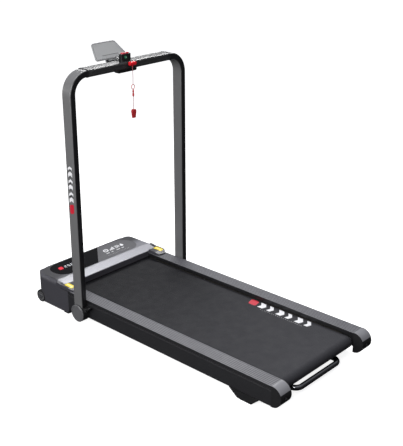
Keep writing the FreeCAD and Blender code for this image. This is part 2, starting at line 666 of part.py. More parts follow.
def motor_bracket():
    """Cradle bolted between the base pan and the motor."""
    floor_z = COVER_BOTTOM + WALL
    cradle = []
    for x in (CAN_X0 + 14, CAN_X1 - 24):
        leg = box(x, x + 10, MOTOR_Y - 34, MOTOR_Y + 34, floor_z + 3, MOTOR_Z - 8)
        cradle.append(leg)
    foot = box(CAN_X0 + 4, CAN_X1 - 4, MOTOR_Y - 46, MOTOR_Y + 46, floor_z, floor_z + 3)
    whole = union([foot] + cradle)
    return whole.cut(cyl_x(MOTOR_Y, MOTOR_Z, MOTOR_R, CAN_X0, CAN_X1))


def control_board():
    """Circuit board with capacitors and relay on it."""
    z = COVER_BOTTOM + WALL + 8
    board = box(80, 205, 515, 612, z, z + 1.6)
    tall = [cyl_z(100, 590, 11, z + 1.6, z + 36), cyl_z(128, 590, 11, z + 1.6, z + 36),
            box(150, 172, 578, 602, z + 1.6, z + 20), box(92, 108, 525, 545, z + 1.6, z + 14)]
    posts = [cyl_z(x, y, 3.0, z - 8, z) for x in (86, 199) for y in (521, 606)]
    return union([board] + tall + posts)


def heat_sink():
    z = COVER_BOTTOM + WALL + 9.6
    base = box(120, 195, 522, 566, z, z + 5)
    fins = [box(120 + 8.4 * i, 123 + 8.4 * i, 522, 566, z + 5, z + 30) for i in range(9)]
    return union([base] + fins)


def display_board():
    z = COVER_TOP - WALL - 12
    board = box(-190, 190, 520, 610, z, z + 1.6)
    posts = [cyl_z(x, y, 3.0, z + 1.6, COVER_TOP - WALL) for x in (-180, 180) for y in (530, 600)]
    return union([board] + posts)


# ---- handrail -----------------------------------------------------------------------
def tube_section(x0, x1, z, inset):
    """Rounded rectangular section of the handrail in the plane at height z."""
    d = TUBE_D / 2 - inset
    return face_of([V(x0 + inset, PIVOT_Y - d, z), V(x1 - inset, PIVOT_Y - d, z),
                    V(x1 - inset, PIVOT_Y + d, z), V(x0 + inset, PIVOT_Y + d, z)],
                   TUBE_R - inset * 0.8)


LEG_BOTTOM = PIVOT_Z + 22.0


def handrail_solid(inset):
    bend_z = BAR_Z - BEND_R
    bend_x = LEG_X - BEND_R
    leg = tube_section(LEG_IN, LEG_IN + TUBE_T, LEG_BOTTOM, inset)
    leg = leg.extrude(V(0, 0, bend_z - LEG_BOTTOM))
    top = tube_section(LEG_IN, LEG_IN + TUBE_T, bend_z, inset)
    bend = top.revolve(V(bend_x, PIVOT_Y, bend_z), V(0, -1, 0), 90)
    across = round_box_x(-bend_x, bend_x, PIVOT_Y - TUBE_D / 2 + inset,
                         PIVOT_Y + TUBE_D / 2 - inset, BAR_Z - TUBE_T / 2 + inset,
                         BAR_Z + TUBE_T / 2 - inset, TUBE_R - inset * 0.8)
    return union(both_sides(leg) + both_sides(bend) + [across])


def handrail_tube():
    return handrail_solid(0.0).cut(handrail_solid(TUBE_WALL))


GRIP_HALF = 205.0


def sleeve_block(x0, x1, thickness):
    return round_box_x(x0, x1, PIVOT_Y - TUBE_D / 2 - thickness,
                       PIVOT_Y + TUBE_D / 2 + thickness, BAR_Z - TUBE_T / 2 - thickness,
                       BAR_Z + TUBE_T / 2 + thickness, TUBE_R + thickness)


def grip_sleeve():
    return sleeve_block(-GRIP_HALF, GRIP_HALF, SLEEVE_T).cut(
        sleeve_block(-GRIP_HALF - 1, GRIP_HALF + 1, 0.0))


def grip_ring():
    return sleeve_block(GRIP_HALF, GRIP_HALF + 5, SLEEVE_T + 0.6).cut(
        sleeve_block(GRIP_HALF - 1, GRIP_HALF + 6, 0.0))


HUB_X0, HUB_X1 = LEG_IN, LEG_IN + TUBE_T + 4.0
CAP_X1 = HUB_X1 + 4.0


def hub_housing():
    """Round knuckle at the foot of a leg, with a socket for the tube and a pin bore."""
    drum = cyl_x(PIVOT_Y, PIVOT_Z, HUB_R, HUB_X0, HUB_X1)
    ears = [box(LATCH_X + a, LATCH_X + b, LATCH_Y - 6, LATCH_Y + 18, LATCH_Z - 7, LATCH_Z + 6)
            for a, b in ((-11, -8.2), (8.2, 11))]
    socket = tube_section(LEG_IN, LEG_IN + TUBE_T, LEG_BOTTOM, 0.0).extrude(V(0, 0, 60))
    slot = box(LATCH_X - 8.2, LATCH_X + 8.2, LATCH_Y - 9, LATCH_Y + 9, LATCH_Z - 14, LATCH_Z + 14)
    pin_bore = cyl_x(LATCH_Y, LATCH_Z, LATCH_PIN_R, LATCH_X - 12, LATCH_X + 12)
    bolt_bore = cyl_x(PIVOT_Y, PIVOT_Z, PIVOT_R + RUN_GAP, HUB_X0 - 1, HUB_X1 + 1)
    head_recess = cyl_x(PIVOT_Y, PIVOT_Z, 12.0, HUB_X1 - 8, HUB_X1 + 1)
    return minus(union([drum] + ears), [socket, slot, pin_bore, bolt_bore, head_recess])


def hub_cap():
    """Shallow domed cap with a ring groove."""
    disc = cyl_x(PIVOT_Y, PIVOT_Z, HUB_R, HUB_X1, CAP_X1 - 1.5)
    crown = Part.makeCone(HUB_R, HUB_R - 2.5, 1.5, V(CAP_X1 - 1.5, PIVOT_Y, PIVOT_Z), X_AXIS)
    groove = ring_x(PIVOT_Y, PIVOT_Z, HUB_R - 7, HUB_R - 8.5, CAP_X1 - 1, CAP_X1 + 1)
    return union([disc, crown]).cut(groove)


def pivot_bolt():
    shank = cyl_x(PIVOT_Y, PIVOT_Z, PIVOT_R, BEAM_X0 - 5.5, HUB_X1 - 7)
    head = cyl_x(PIVOT_Y, PIVOT_Z, 10.0, HUB_X1 - 7.5, HUB_X1 - 1)
    nut = prism_x([(PIVOT_Y + 10 * math.cos(math.radians(60 * i)),
                    PIVOT_Z + 10 * math.sin(math.radians(60 * i))) for i in range(6)],
                  BEAM_X0 - 5, BEAM_X0)
    return union([shank, head, nut])


LATCH_X, LATCH_Y, LATCH_Z = HUB_X0 + 14.0, PIVOT_Y - 40.0, PIVOT_Z + 22.0
LATCH_PIN_R = 2.0


def latch_lever():
    """Small spring-loaded tab at the back of the hub that frees the fold lock."""
    x0, x1 = LATCH_X - 7.8, LATCH_X + 7.8
    lever = prism_x([(LATCH_Y - 4.5, LATCH_Z - 4), (LATCH_Y + 4, LATCH_Z - 4),
                     (LATCH_Y + 4, LATCH_Z + 4), (LATCH_Y - 2, LATCH_Z + 6),
                     (LATCH_Y - 17, LATCH_Z + 13), (LATCH_Y - 18.5, LATCH_Z + 9.5)], x0, x1,
                    [2, 2, 2, 2, 1, 1])
    return lever.cut(cyl_x(LATCH_Y, LATCH_Z, LATCH_PIN_R + RUN_GAP, x0 - 1, x1 + 1))


def latch_pin():
    return cyl_x(LATCH_Y, LATCH_Z, LATCH_PIN_R, LATCH_X - 11, LATCH_X + 11)


# ---- console on the bar -------------------------------------------------------------
SLEEVE_Y0 = PIVOT_Y - TUBE_D / 2 - SLEEVE_T
SLEEVE_Y1 = PIVOT_Y + TUBE_D / 2 + SLEEVE_T
SLEEVE_Z0 = BAR_Z - TUBE_T / 2 - SLEEVE_T
SLEEVE_Z1 = BAR_Z + TUBE_T / 2 + SLEEVE_T
POD_X0, POD_X1 = CONSOLE_X - 23.5, CONSOLE_X + 23.5
POD_Y0, POD_Y1 = PIVOT_Y - 15.0, PIVOT_Y + 4.0
POD_TOP = SLEEVE_Z1 + 27.0
BUTTON_TRAVEL = 2.0
STOP_X, START_X = CONSOLE_X + 1.0, CONSOLE_X - 3.5
STOP_HALF, START_R = 17.0, 5.4
START_Z = SLEEVE_Z1 + 14.5


def control_pod():
    """Hollow button housing on top of the bar."""
    outer = prism_x([(POD_Y0, SLEEVE_Z1), (POD_Y1, SLEEVE_Z1), (POD_Y1, POD_TOP),
                     (POD_Y0 + 2, POD_TOP)], POD_X0, POD_X1, [0, 0, 3, 3])
    outer = outer.common(round_box_z(POD_X0, POD_X1, POD_Y0, POD_Y1, SLEEVE_Z1, POD_TOP, 4))
    inner = box(POD_X0 + 2.5, POD_X1 - 2.5, POD_Y0 + 4, POD_Y1 - 2.5, SLEEVE_Z1 + 1,
                POD_TOP - 2.5)
    half = STOP_HALF + 0.3
    stop_well = round_box_z(STOP_X - half, STOP_X + half, POD_Y0 + 4.3, POD_Y1 - 3.3,
                            POD_TOP - 5, POD_TOP + 1, 3.3)
    start_well = cyl_y(START_X, START_Z, START_R + 0.3, POD_Y0 - 5, POD_Y0 + 5)
    return minus(outer, [inner, stop_well, start_well])


def stop_button():
    """Wide red key on the pod's top, with end flanges that keep it in."""
    cap = round_box_z(STOP_X - STOP_HALF, STOP_X + STOP_HALF, POD_Y0 + 4.6, POD_Y1 - 3.6,
                      POD_TOP - 4, POD_TOP + 3, 3)
    flange = box(STOP_X - STOP_HALF - 2, STOP_X + STOP_HALF + 2, POD_Y0 + 5.5, POD_Y1 - 4.5,
                 POD_TOP - 4, POD_TOP - 2.8)
    return union([cap, flange])


def start_button():
    cap = cyl_y(START_X, START_Z, START_R, POD_Y0 - 2.2, POD_Y0 + 6)
    flange = cyl_y(START_X, START_Z, START_R + 0.9, POD_Y0 + 4.3, POD_Y0 + 6)
    return union([cap, flange])


UNDER_X0, UNDER_X1 = CONSOLE_X - 44.5, CONSOLE_X + 46.5
STRAP_T = 4.0


def console_strap():
    """Band round the front of the bar, from the pod to the housing below, with tray lugs."""
    band = prism_x(rect(POD_Y1, SLEEVE_Y1 + STRAP_T, SLEEVE_Z0, SLEEVE_Z1 + 2.5),
                   POD_X0 + 4, POD_X1 - 4, [0, 4, 3, 0])
    bar = sleeve_block(POD_X0 - 40, POD_X1, SLEEVE_T)
    pin_hole = cyl_x(HINGE_Y, HINGE_Z, TRAY_PIN_R, TRAY_X - 40, TRAY_X + 40)
    return minus(union([band] + tray_lugs()), [bar, pin_hole])


def lower_housing():
    """Display electronics housing below the bar, with a notch near its left end."""
    y0, y1, z0 = PIVOT_Y - 19, PIVOT_Y + 5, SLEEVE_Z0 - 12
    body = prism_x(rect(y0, y1, z0, SLEEVE_Z0), UNDER_X0, UNDER_X1, [5, 5, 0, 0])
    body = body.common(prism_y(rect(UNDER_X0, UNDER_X1, z0, SLEEVE_Z0), y0, y1, [6, 6, 0, 0]))
    notch = box(UNDER_X0 + 13, UNDER_X0 + 17, y0 - 1, y1 + 1, z0 - 1, z0 + 7)
    hollow = box(UNDER_X0 + 20, UNDER_X1 - 6, y0 + 4, y1 - 4, z0 + 2.5, SLEEVE_Z0 - 2.5)
    return minus(body, [notch, hollow])


KEY_X0, KEY_X1 = KEY_X - 15.0, KEY_X + 15.0
KEY_Z0, KEY_Z1 = SLEEVE_Z1 - 15.0, SLEEVE_Z1 - 0.5
SEAT_Y = SLEEVE_Y0 - 4.0
KEY_Y = SEAT_Y - 12.0


def key_seat():
    """Switch plate on the user's side of the bar that the key clips on to."""
    seat = round_box_y(KEY_X0 - 2.5, KEY_X1 + 2.5, SEAT_Y, SLEEVE_Y0 + 6, KEY_Z0 - 2, KEY_Z1 + 1,
                       4)
    seat = seat.cut(sleeve_block(KEY_X0 - 5, KEY_X1 + 5, SLEEVE_T))
    return seat.cut(round_box_y(KEY_X - 6.3, KEY_X + 6.3, SEAT_Y - 1, SEAT_Y + 2.5,
                                KEY_Z0 + 3.7, KEY_Z1 - 3.7, 2))


def safety_key():
    """Magnetic key: a rounded block with a locating stub and a lanyard lug below."""
    block = prism_x(rect(KEY_Y, SEAT_Y, KEY_Z0, KEY_Z1), KEY_X0, KEY_X1, [5, 0, 0, 5])
    block = block.common(round_box_y(KEY_X0, KEY_X1, KEY_Y, SEAT_Y, KEY_Z0, KEY_Z1, 4))
    stub = round_box_y(KEY_X - 6, KEY_X + 6, SEAT_Y, SEAT_Y + 2.2, KEY_Z0 + 4, KEY_Z1 - 4, 2)
    lug = cyl_z(KEY_X, LANYARD_Y, 3.2, KEY_Z0 - 4, KEY_Z0 + 2)
    return union([block, stub, lug])


# ---- device tray --------------------------------------------------------------------
TRAY_T = 5.0
TRAY_LEN = 75.0
TRAY_PIN_R = 2.5


def tray_lugs():
    """Two lugs on the strap that hold the tray's hinge pin, and the bridge under them."""
    y0 = SLEEVE_Y1 + STRAP_T
    profile = [(y0, SLEEVE_Z1 - 8), (HINGE_Y + 6, HINGE_Z - 4), (HINGE_Y + 6, HINGE_Z + 5),
               (HINGE_Y - 4, HINGE_Z + 5), (y0, SLEEVE_Z1 + 2)]
    lugs = [prism_x(profile, TRAY_X + side * 24.5 - 2.5, TRAY_X + side * 24.5 + 2.5,
                    [0, 4, 4, 3, 0]) for side in (-1, 1)]
    plate = round_box_y(TRAY_X - 31, TRAY_X + 31, SLEEVE_Y1 + 0.2, y0, SLEEVE_Z0 + 6,
                        SLEEVE_Z1 + 1, 3)
    return lugs + [plate]


def tray_pin():
    return cyl_x(HINGE_Y, HINGE_Z, TRAY_PIN_R, TRAY_X - 29, TRAY_X + 29)


def device_tray():
    """Flat plate, wider at its foot, with a barrel that turns on the pin."""
    foot, top, gap = 80.0, 56.0, 3.0
    plate = prism_z([(TRAY_X - foot, HINGE_Y + gap), (TRAY_X + foot, HINGE_Y + gap),
                     (TRAY_X + top, HINGE_Y + gap + TRAY_LEN),
                     (TRAY_X - top, HINGE_Y + gap + TRAY_LEN)],
                    HINGE_Z + 4.0, HINGE_Z + 4.0 + TRAY_T, [8, 8, 11, 11])
    web = box(TRAY_X - 20, TRAY_X + 20, HINGE_Y, HINGE_Y + gap + 14, HINGE_Z - 1, HINGE_Z + 4.0)
    barrel = cyl_x(HINGE_Y, HINGE_Z, 4.6, TRAY_X - 21.5, TRAY_X + 21.5)
    notches = [box(TRAY_X + side * 24.5 - 4, TRAY_X + side * 24.5 + 4, HINGE_Y, HINGE_Y + 9,
                   HINGE_Z + 3, HINGE_Z + 10) for side in (-1, 1)]
    whole = union([minus(plate, notches), web, barrel])
    whole = whole.cut(cyl_x(HINGE_Y, HINGE_Z, TRAY_PIN_R + RUN_GAP, TRAY_X - 30, TRAY_X + 30))
    whole.rotate(V(0, HINGE_Y, HINGE_Z), X_AXIS, TRAY_LEAN)
    return whole


# ---- lanyard ------------------------------------------------------------------------
LANYARD_Y = KEY_Y + 6.0
CORD_TOP = KEY_Z0 - 4.0
RING_TOP, SWIVEL_TOP, LOWER_TOP, CLIP_TOP, CLIP_BOTTOM = 914.0, 892.0, 868.0, 819.0, 785.0
UPPER_ROUTE = [(KEY_X, LANYARD_Y, CORD_TOP), (KEY_X + 1.2, LANYARD_Y - 0.4, 948.0),
               (KEY_X, LANYARD_Y, RING_TOP)]
LOWER_ROUTE = [(KEY_X, LANYARD_Y, LOWER_TOP), (KEY_X - 1.0, LANYARD_Y + 0.4, 844.0),
               (KEY_X, LANYARD_Y, CLIP_TOP)]


def cord_tube(route, diameter):
    """Tube along a route: straight runs joined by the largest tangent arcs."""
    points = [V(*p) for p in route]
    edges, start, radii = [], points[0], []
    for before, corner, after in zip(points, points[1:], points[2:]):
        into, out = corner - before, after - corner
        turn = into.getAngle(out)
        reach = 0.45 * min(into.Length, out.Length)
        radii.append(reach / math.tan(turn / 2))
        enter = corner - into.normalize() * reach
        leave = corner + out.normalize() * reach
        bow = (enter + leave) * 0.5 - corner
        depth = radii[-1] / math.cos(turn / 2) - radii[-1]
        edges.append(Part.LineSegment(start, enter).toShape())
        edges.append(Part.Arc(enter, corner + bow.normalize() * depth, leave).toShape())
        start = leave
    edges.append(Part.LineSegment(start, points[-1]).toShape())
    path = Part.Wire(edges)
    disc = Part.Wire(Part.makeCircle(diameter / 2, points[0], points[1] - points[0]))
    tube = path.makePipeShell([disc], True, True)
    section = math.pi * diameter ** 2 / 4
    print("cord length", round(path.Length, 1), "radii", [round(r, 1) for r in radii],
          "volume ratio", round(tube.Volume / (section * path.Length), 4))
    return tube


def lanyard_hook():
    """Open-eyed snap hook: a ring with a short neck down to its swivel."""
    mid = (RING_TOP + SWIVEL_TOP + 3) / 2
    r_mid = (RING_TOP - SWIVEL_TOP - 3) / 2 - 1.2
    ring = Part.makeTorus(r_mid, 1.2, V(KEY_X, LANYARD_Y, mid), Y_AXIS)
    neck = cyl_z(KEY_X, LANYARD_Y, 2.2, SWIVEL_TOP, SWIVEL_TOP + 3.6)
    return ring.fuse(neck)


def lanyard_swivel():
    """Turned swivel barrel between the hook and the lower cord."""
    profile = [(0, LOWER_TOP), (2.6, LOWER_TOP), (3.6, LOWER_TOP + 3), (3.6, LOWER_TOP + 11),
               (2.4, LOWER_TOP + 13), (3.2, LOWER_TOP + 17), (3.2, SWIVEL_TOP - 2),
               (2.2, SWIVEL_TOP), (0, SWIVEL_TOP)]
    face = face_of([V(KEY_X + r, LANYARD_Y, z) for r, z in profile])
    return face.revolve(V(KEY_X, LANYARD_Y, 0), Z_AXIS, 360)


def clothes_clip():
    """Spring clip: two jaws about a cross pin, drawn closed."""
    z_pin = CLIP_TOP - 12
    jaws = []
    for side in (-1, 1):
        y = LANYARD_Y
        outline = [(y + side * 0.3, CLIP_BOTTOM), (y + side * 3.6, CLIP_BOTTOM + 1),
                   (y + side * 4.2, z_pin), (y + side * 4.8, CLIP_TOP),
                   (y + side * 2.4, CLIP_TOP), (y + side * 0.3, z_pin - 2)]
        jaws.append(prism_x(outline, KEY_X - 10, KEY_X + 10))
    block = box(KEY_X - 5, KEY_X + 5, LANYARD_Y - 4, LANYARD_Y + 4, z_pin - 2, z_pin + 5)
    eye = cyl_z(KEY_X, LANYARD_Y, 2.0, z_pin + 4, CLIP_TOP)
    front_view = prism_y([(KEY_X - 6.5, CLIP_BOTTOM), (KEY_X + 6.5, CLIP_BOTTOM),
                          (KEY_X + 10, CLIP_TOP - 7), (KEY_X + 6.5, CLIP_TOP),
                          (KEY_X - 6.5, CLIP_TOP), (KEY_X - 10, CLIP_TOP - 7)],
                         LANYARD_Y - 6, LANYARD_Y + 6, [1, 1, 2, 2, 2, 2])
    return union(jaws + [block, eye]).common(front_view)


# ---- write every piece --------------------------------------------------------------
def save_frame():
    block, shell = rear_corner()
    save("side_beams", *both_sides(side_beam()))
    save("side_skirts", *both_sides(side_skirt()))
    save("foot_rails", *both_sides(foot_rail()))
    save("rear_corner_blocks", *both_sides(block))
    save("rear_corner_shells", *both_sides(shell))
    save("frame_bolts", *both_sides(adjuster_bolt()) + both_sides(pivot_bolt()))
    save("shaft_blocks", *both_sides(shaft_block()))
    save("cross_members", *cross_members() + rear_crossmember())
    save("rear_handle", rear_handle())
    save("rear_feet", *both_sides(rear_foot()))
    save("foot_pads", *foot_pads())


def save_deck():
    save("running_board", running_board())
    save("deck_cushions", *deck_cushions())
    save("screws", *deck_screws() + cover_screws())
    save("running_belt", belt_loop(REAR_ROLLER_Y, FRONT_ROLLER_Y, ROLLER_Z, ROLLER_Z,
                                   ROLLER_R, ROLLER_R, BELT_T, -BELT_HALF_W, BELT_HALF_W))
    save("rear_roller", roller_tube(REAR_ROLLER_Y), *roller_bearings(REAR_ROLLER_Y))
    save("front_roller", roller_tube(FRONT_ROLLER_Y), *roller_bearings(FRONT_ROLLER_Y))
    save("roller_shafts", roller_shaft(REAR_ROLLER_Y, BEAM_X1 - 4),
         roller_shaft(FRONT_ROLLER_Y, BEAM_X1 - 8))
    save("roller_pulley", grooved_pulley(FRONT_ROLLER_Y, ROLLER_Z, ROLLER_PULLEY_R,
                                         SHAFT_R + RUN_GAP))


def save_motor_bay():
    save("drive_belt", belt_loop(FRONT_ROLLER_Y, MOTOR_Y, ROLLER_Z, MOTOR_Z, ROLLER_PULLEY_R,
                                 MOTOR_PULLEY_R, DRIVE_BELT_T, PULLEY_X0 + 2, PULLEY_X1 - 2))
    save("motor_body", motor_body())
    save("motor_rotor", *motor_rotor())
    save("motor_pulley", grooved_pulley(MOTOR_Y, MOTOR_Z, MOTOR_PULLEY_R, MOTOR_SHAFT_R))
    save("motor_flywheel", flywheel())
    save("motor_bracket", motor_bracket())
    save("circuit_boards", control_board(), display_board())
    save("heat_sink", heat_sink())
    save("motor_cover", motor_cover())
    save("cover_bezel", cover_bezel())
    window, icons = display_panels()
    save("display_window", window)
    save("icon_panel", icons)
    save("base_pan", base_pan())
    save("inlet_and_switch_frame", power_inlet(), switch_frame())
    save("power_switch", rocker_key())
    save("wheel_forks", *both_sides(wheel_fork()))
    save("wheel_axles", *both_sides(wheel_axle()))
    save_pair("wheel_rim", wheel_rim())
    save_pair("wheel_tyre", wheel_tyre())


def save_handrail():
    save("handrail_tube", handrail_tube())
    save("grip_sleeve", grip_sleeve())
    save("grip_rings", *both_sides(grip_ring()))
    save("hub_housings", *both_sides(hub_housing()))
    save("hub_caps", *both_sides(hub_cap()))
    save_pair("latch_lever", latch_lever())
    save("hinge_pins", tray_pin(), *both_sides(latch_pin()))
    save("control_pod", control_pod())
    save("stop_button", stop_button())
    save("start_button", start_button())
    save("console_strap", console_strap())
    save("lower_housing", lower_housing())
    save("key_seat", key_seat())
    save("device_tray", device_tray())


def save_key_and_lanyard():
    save("safety_key", safety_key())
    save("lanyard_upper_cord", cord_tube(UPPER_ROUTE, CORD_D))
    save("lanyard_hook", lanyard_hook(), lanyard_swivel())
    save("lanyard_lower_cord", cord_tube(LOWER_ROUTE, CORD_D))
    save("clothes_clip", clothes_clip())


save_frame()
save_deck()
save_motor_bay()
save_handrail()
save_key_and_lanyard()
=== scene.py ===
"""Folding treadmill: camera, light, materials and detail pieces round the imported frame."""
import json
import math

import bmesh
import bpy
from mathutils import Matrix, Vector
from mathutils.bvhtree import BVHTree


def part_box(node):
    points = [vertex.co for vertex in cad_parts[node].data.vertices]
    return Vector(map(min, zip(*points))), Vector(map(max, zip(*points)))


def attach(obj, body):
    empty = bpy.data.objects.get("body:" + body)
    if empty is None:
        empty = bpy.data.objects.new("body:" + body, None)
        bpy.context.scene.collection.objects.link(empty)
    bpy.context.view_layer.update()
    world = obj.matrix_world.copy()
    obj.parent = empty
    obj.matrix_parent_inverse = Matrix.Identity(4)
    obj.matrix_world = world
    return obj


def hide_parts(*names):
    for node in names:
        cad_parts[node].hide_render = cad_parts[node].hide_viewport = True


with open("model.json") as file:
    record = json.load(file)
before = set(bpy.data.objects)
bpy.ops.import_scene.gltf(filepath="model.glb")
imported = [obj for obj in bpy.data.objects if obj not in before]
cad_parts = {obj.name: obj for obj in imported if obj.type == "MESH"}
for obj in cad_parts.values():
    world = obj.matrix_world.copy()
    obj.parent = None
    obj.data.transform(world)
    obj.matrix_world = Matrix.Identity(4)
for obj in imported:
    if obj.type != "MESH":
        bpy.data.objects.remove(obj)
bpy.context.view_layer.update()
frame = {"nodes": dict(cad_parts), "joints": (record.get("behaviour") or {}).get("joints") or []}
NODES = frame["nodes"]

CORD_D = 0.0022             # lanyard cord
UPPER_ROUTE = [(-0.004, 0.2905, 0.9800), (-0.0028, 0.2901, 0.9480), (-0.004, 0.2905, 0.9140)]
LOWER_ROUTE = [(-0.004, 0.2905, 0.8680), (-0.0050, 0.2909, 0.8440), (-0.004, 0.2905, 0.8190)]
OVER_DECK = 0.2             # start height of rays that fall on the deck and the cover
OVER_BAR = 1.2              # start height of rays that fall on the bar's controls
TRAY_LEAN = math.radians(45)
HINGE = Vector(next(j["pos_m"] for j in frame["joints"] if j["name"] == "tray_tilt"))


# ---- camera, floor and light --------------------------------------------------------
def aim(obj, target):
    """Turns a light to face the target."""
    direction = Vector(target) - obj.location
    obj.rotation_euler = direction.to_track_quat("-Z", "Y").to_euler()


def make_camera():
    """Camera behind and left of the user, above the bar's height."""
    yaw, pitch = math.radians(47.52), math.radians(21.98)
    data = bpy.data.cameras.new("camera")
    data.lens = 71.57
    data.sensor_width = 36.0
    camera = bpy.data.objects.new("camera", data)
    camera.location = (-2.2304, -2.0937, 1.6698)
    ahead = Vector((math.sin(yaw) * math.cos(pitch), math.cos(yaw) * math.cos(pitch),
                    -math.sin(pitch)))
    camera.rotation_euler = ahead.to_track_quat("-Z", "Y").to_euler()
    bpy.context.scene.collection.objects.link(camera)
    bpy.context.scene.camera = camera


def area_light(name, place, target, size, power):
    """Rectangular lamp at place, turned to the target."""
    data = bpy.data.lights.new(name, "AREA")
    data.shape = "RECTANGLE"
    data.size, data.size_y = size
    data.energy = power
    light = bpy.data.objects.new(name, data)
    light.location = place
    aim(light, target)
    bpy.context.scene.collection.objects.link(light)


def make_world():
    """White to the camera; on the object a dim studio, dark below and brighter overhead."""
    world = bpy.data.worlds.new("studio")
    world.use_nodes = True
    tree = world.node_tree
    tree.nodes.clear()
    seen = tree.nodes.new("ShaderNodeBackground")
    seen.inputs["Color"].default_value = (1, 1, 1, 1)
    lit = tree.nodes.new("ShaderNodeBackground")
    where = tree.nodes.new("ShaderNodeTexCoord")
    split = tree.nodes.new("ShaderNodeSeparateXYZ")
    rise = tree.nodes.new("ShaderNodeValToRGB")
    rise.color_ramp.interpolation = "EASE"
    # height of the direction, 0 straight down to 1 straight up, and its brightness
    stops = ((0.0, 0.02), (0.5, 0.05), (0.72, 0.10), (0.84, 0.42), (1.0, 0.66))
    while len(rise.color_ramp.elements) < len(stops):
        rise.color_ramp.elements.new(0.5)
    for element, (place, value) in zip(rise.color_ramp.elements, stops):
        element.position = place
        element.color = (value * 0.96, value * 0.98, value * 1.04, 1)
    half = tree.nodes.new("ShaderNodeMath")
    half.operation = "MULTIPLY_ADD"
    half.inputs[1].default_value = 0.5
    half.inputs[2].default_value = 0.5
    path = tree.nodes.new("ShaderNodeLightPath")
    mix = tree.nodes.new("ShaderNodeMixShader")
    out = tree.nodes.new("ShaderNodeOutputWorld")
    tree.links.new(where.outputs["Generated"], split.inputs[0])
    tree.links.new(split.outputs["Z"], half.inputs[0])
    tree.links.new(half.outputs[0], rise.inputs[0])
    tree.links.new(rise.outputs[0], lit.inputs["Color"])
    tree.links.new(path.outputs["Is Camera Ray"], mix.inputs[0])
    tree.links.new(lit.outputs[0], mix.inputs[1])
    tree.links.new(seen.outputs[0], mix.inputs[2])
    tree.links.new(mix.outputs[0], out.inputs["Surface"])
    bpy.context.scene.world = world


def make_floor():
    """Pale glowing floor, seen by the camera but not mirrored in the object."""
    mesh = bpy.data.meshes.new("floor")
    reach, gap = 12.0, 0.0005
    mesh.from_pydata([(-reach, -reach, 0), (reach, -reach, 0), (reach, reach, 0),
                      (-reach, reach, 0)], [], [(0, 1, 2, 3)])
    floor = bpy.data.objects.new("floor", mesh)
    floor.location.z = -gap
    bpy.context.scene.collection.objects.link(floor)
    g = Graph("floor_pale")
    g.fixed(Roughness=0.9, Specular_IOR_Level=0.1, Emission_Strength=0.86,
            Emission_Color=(1, 1, 1, 1))
    g.colour(g.mottle((0.60, 0.60, 0.60), 0.02, 0.8))
    floor.data.materials.append(g.material)
    floor.visible_glossy = False
    floor.visible_diffuse = False


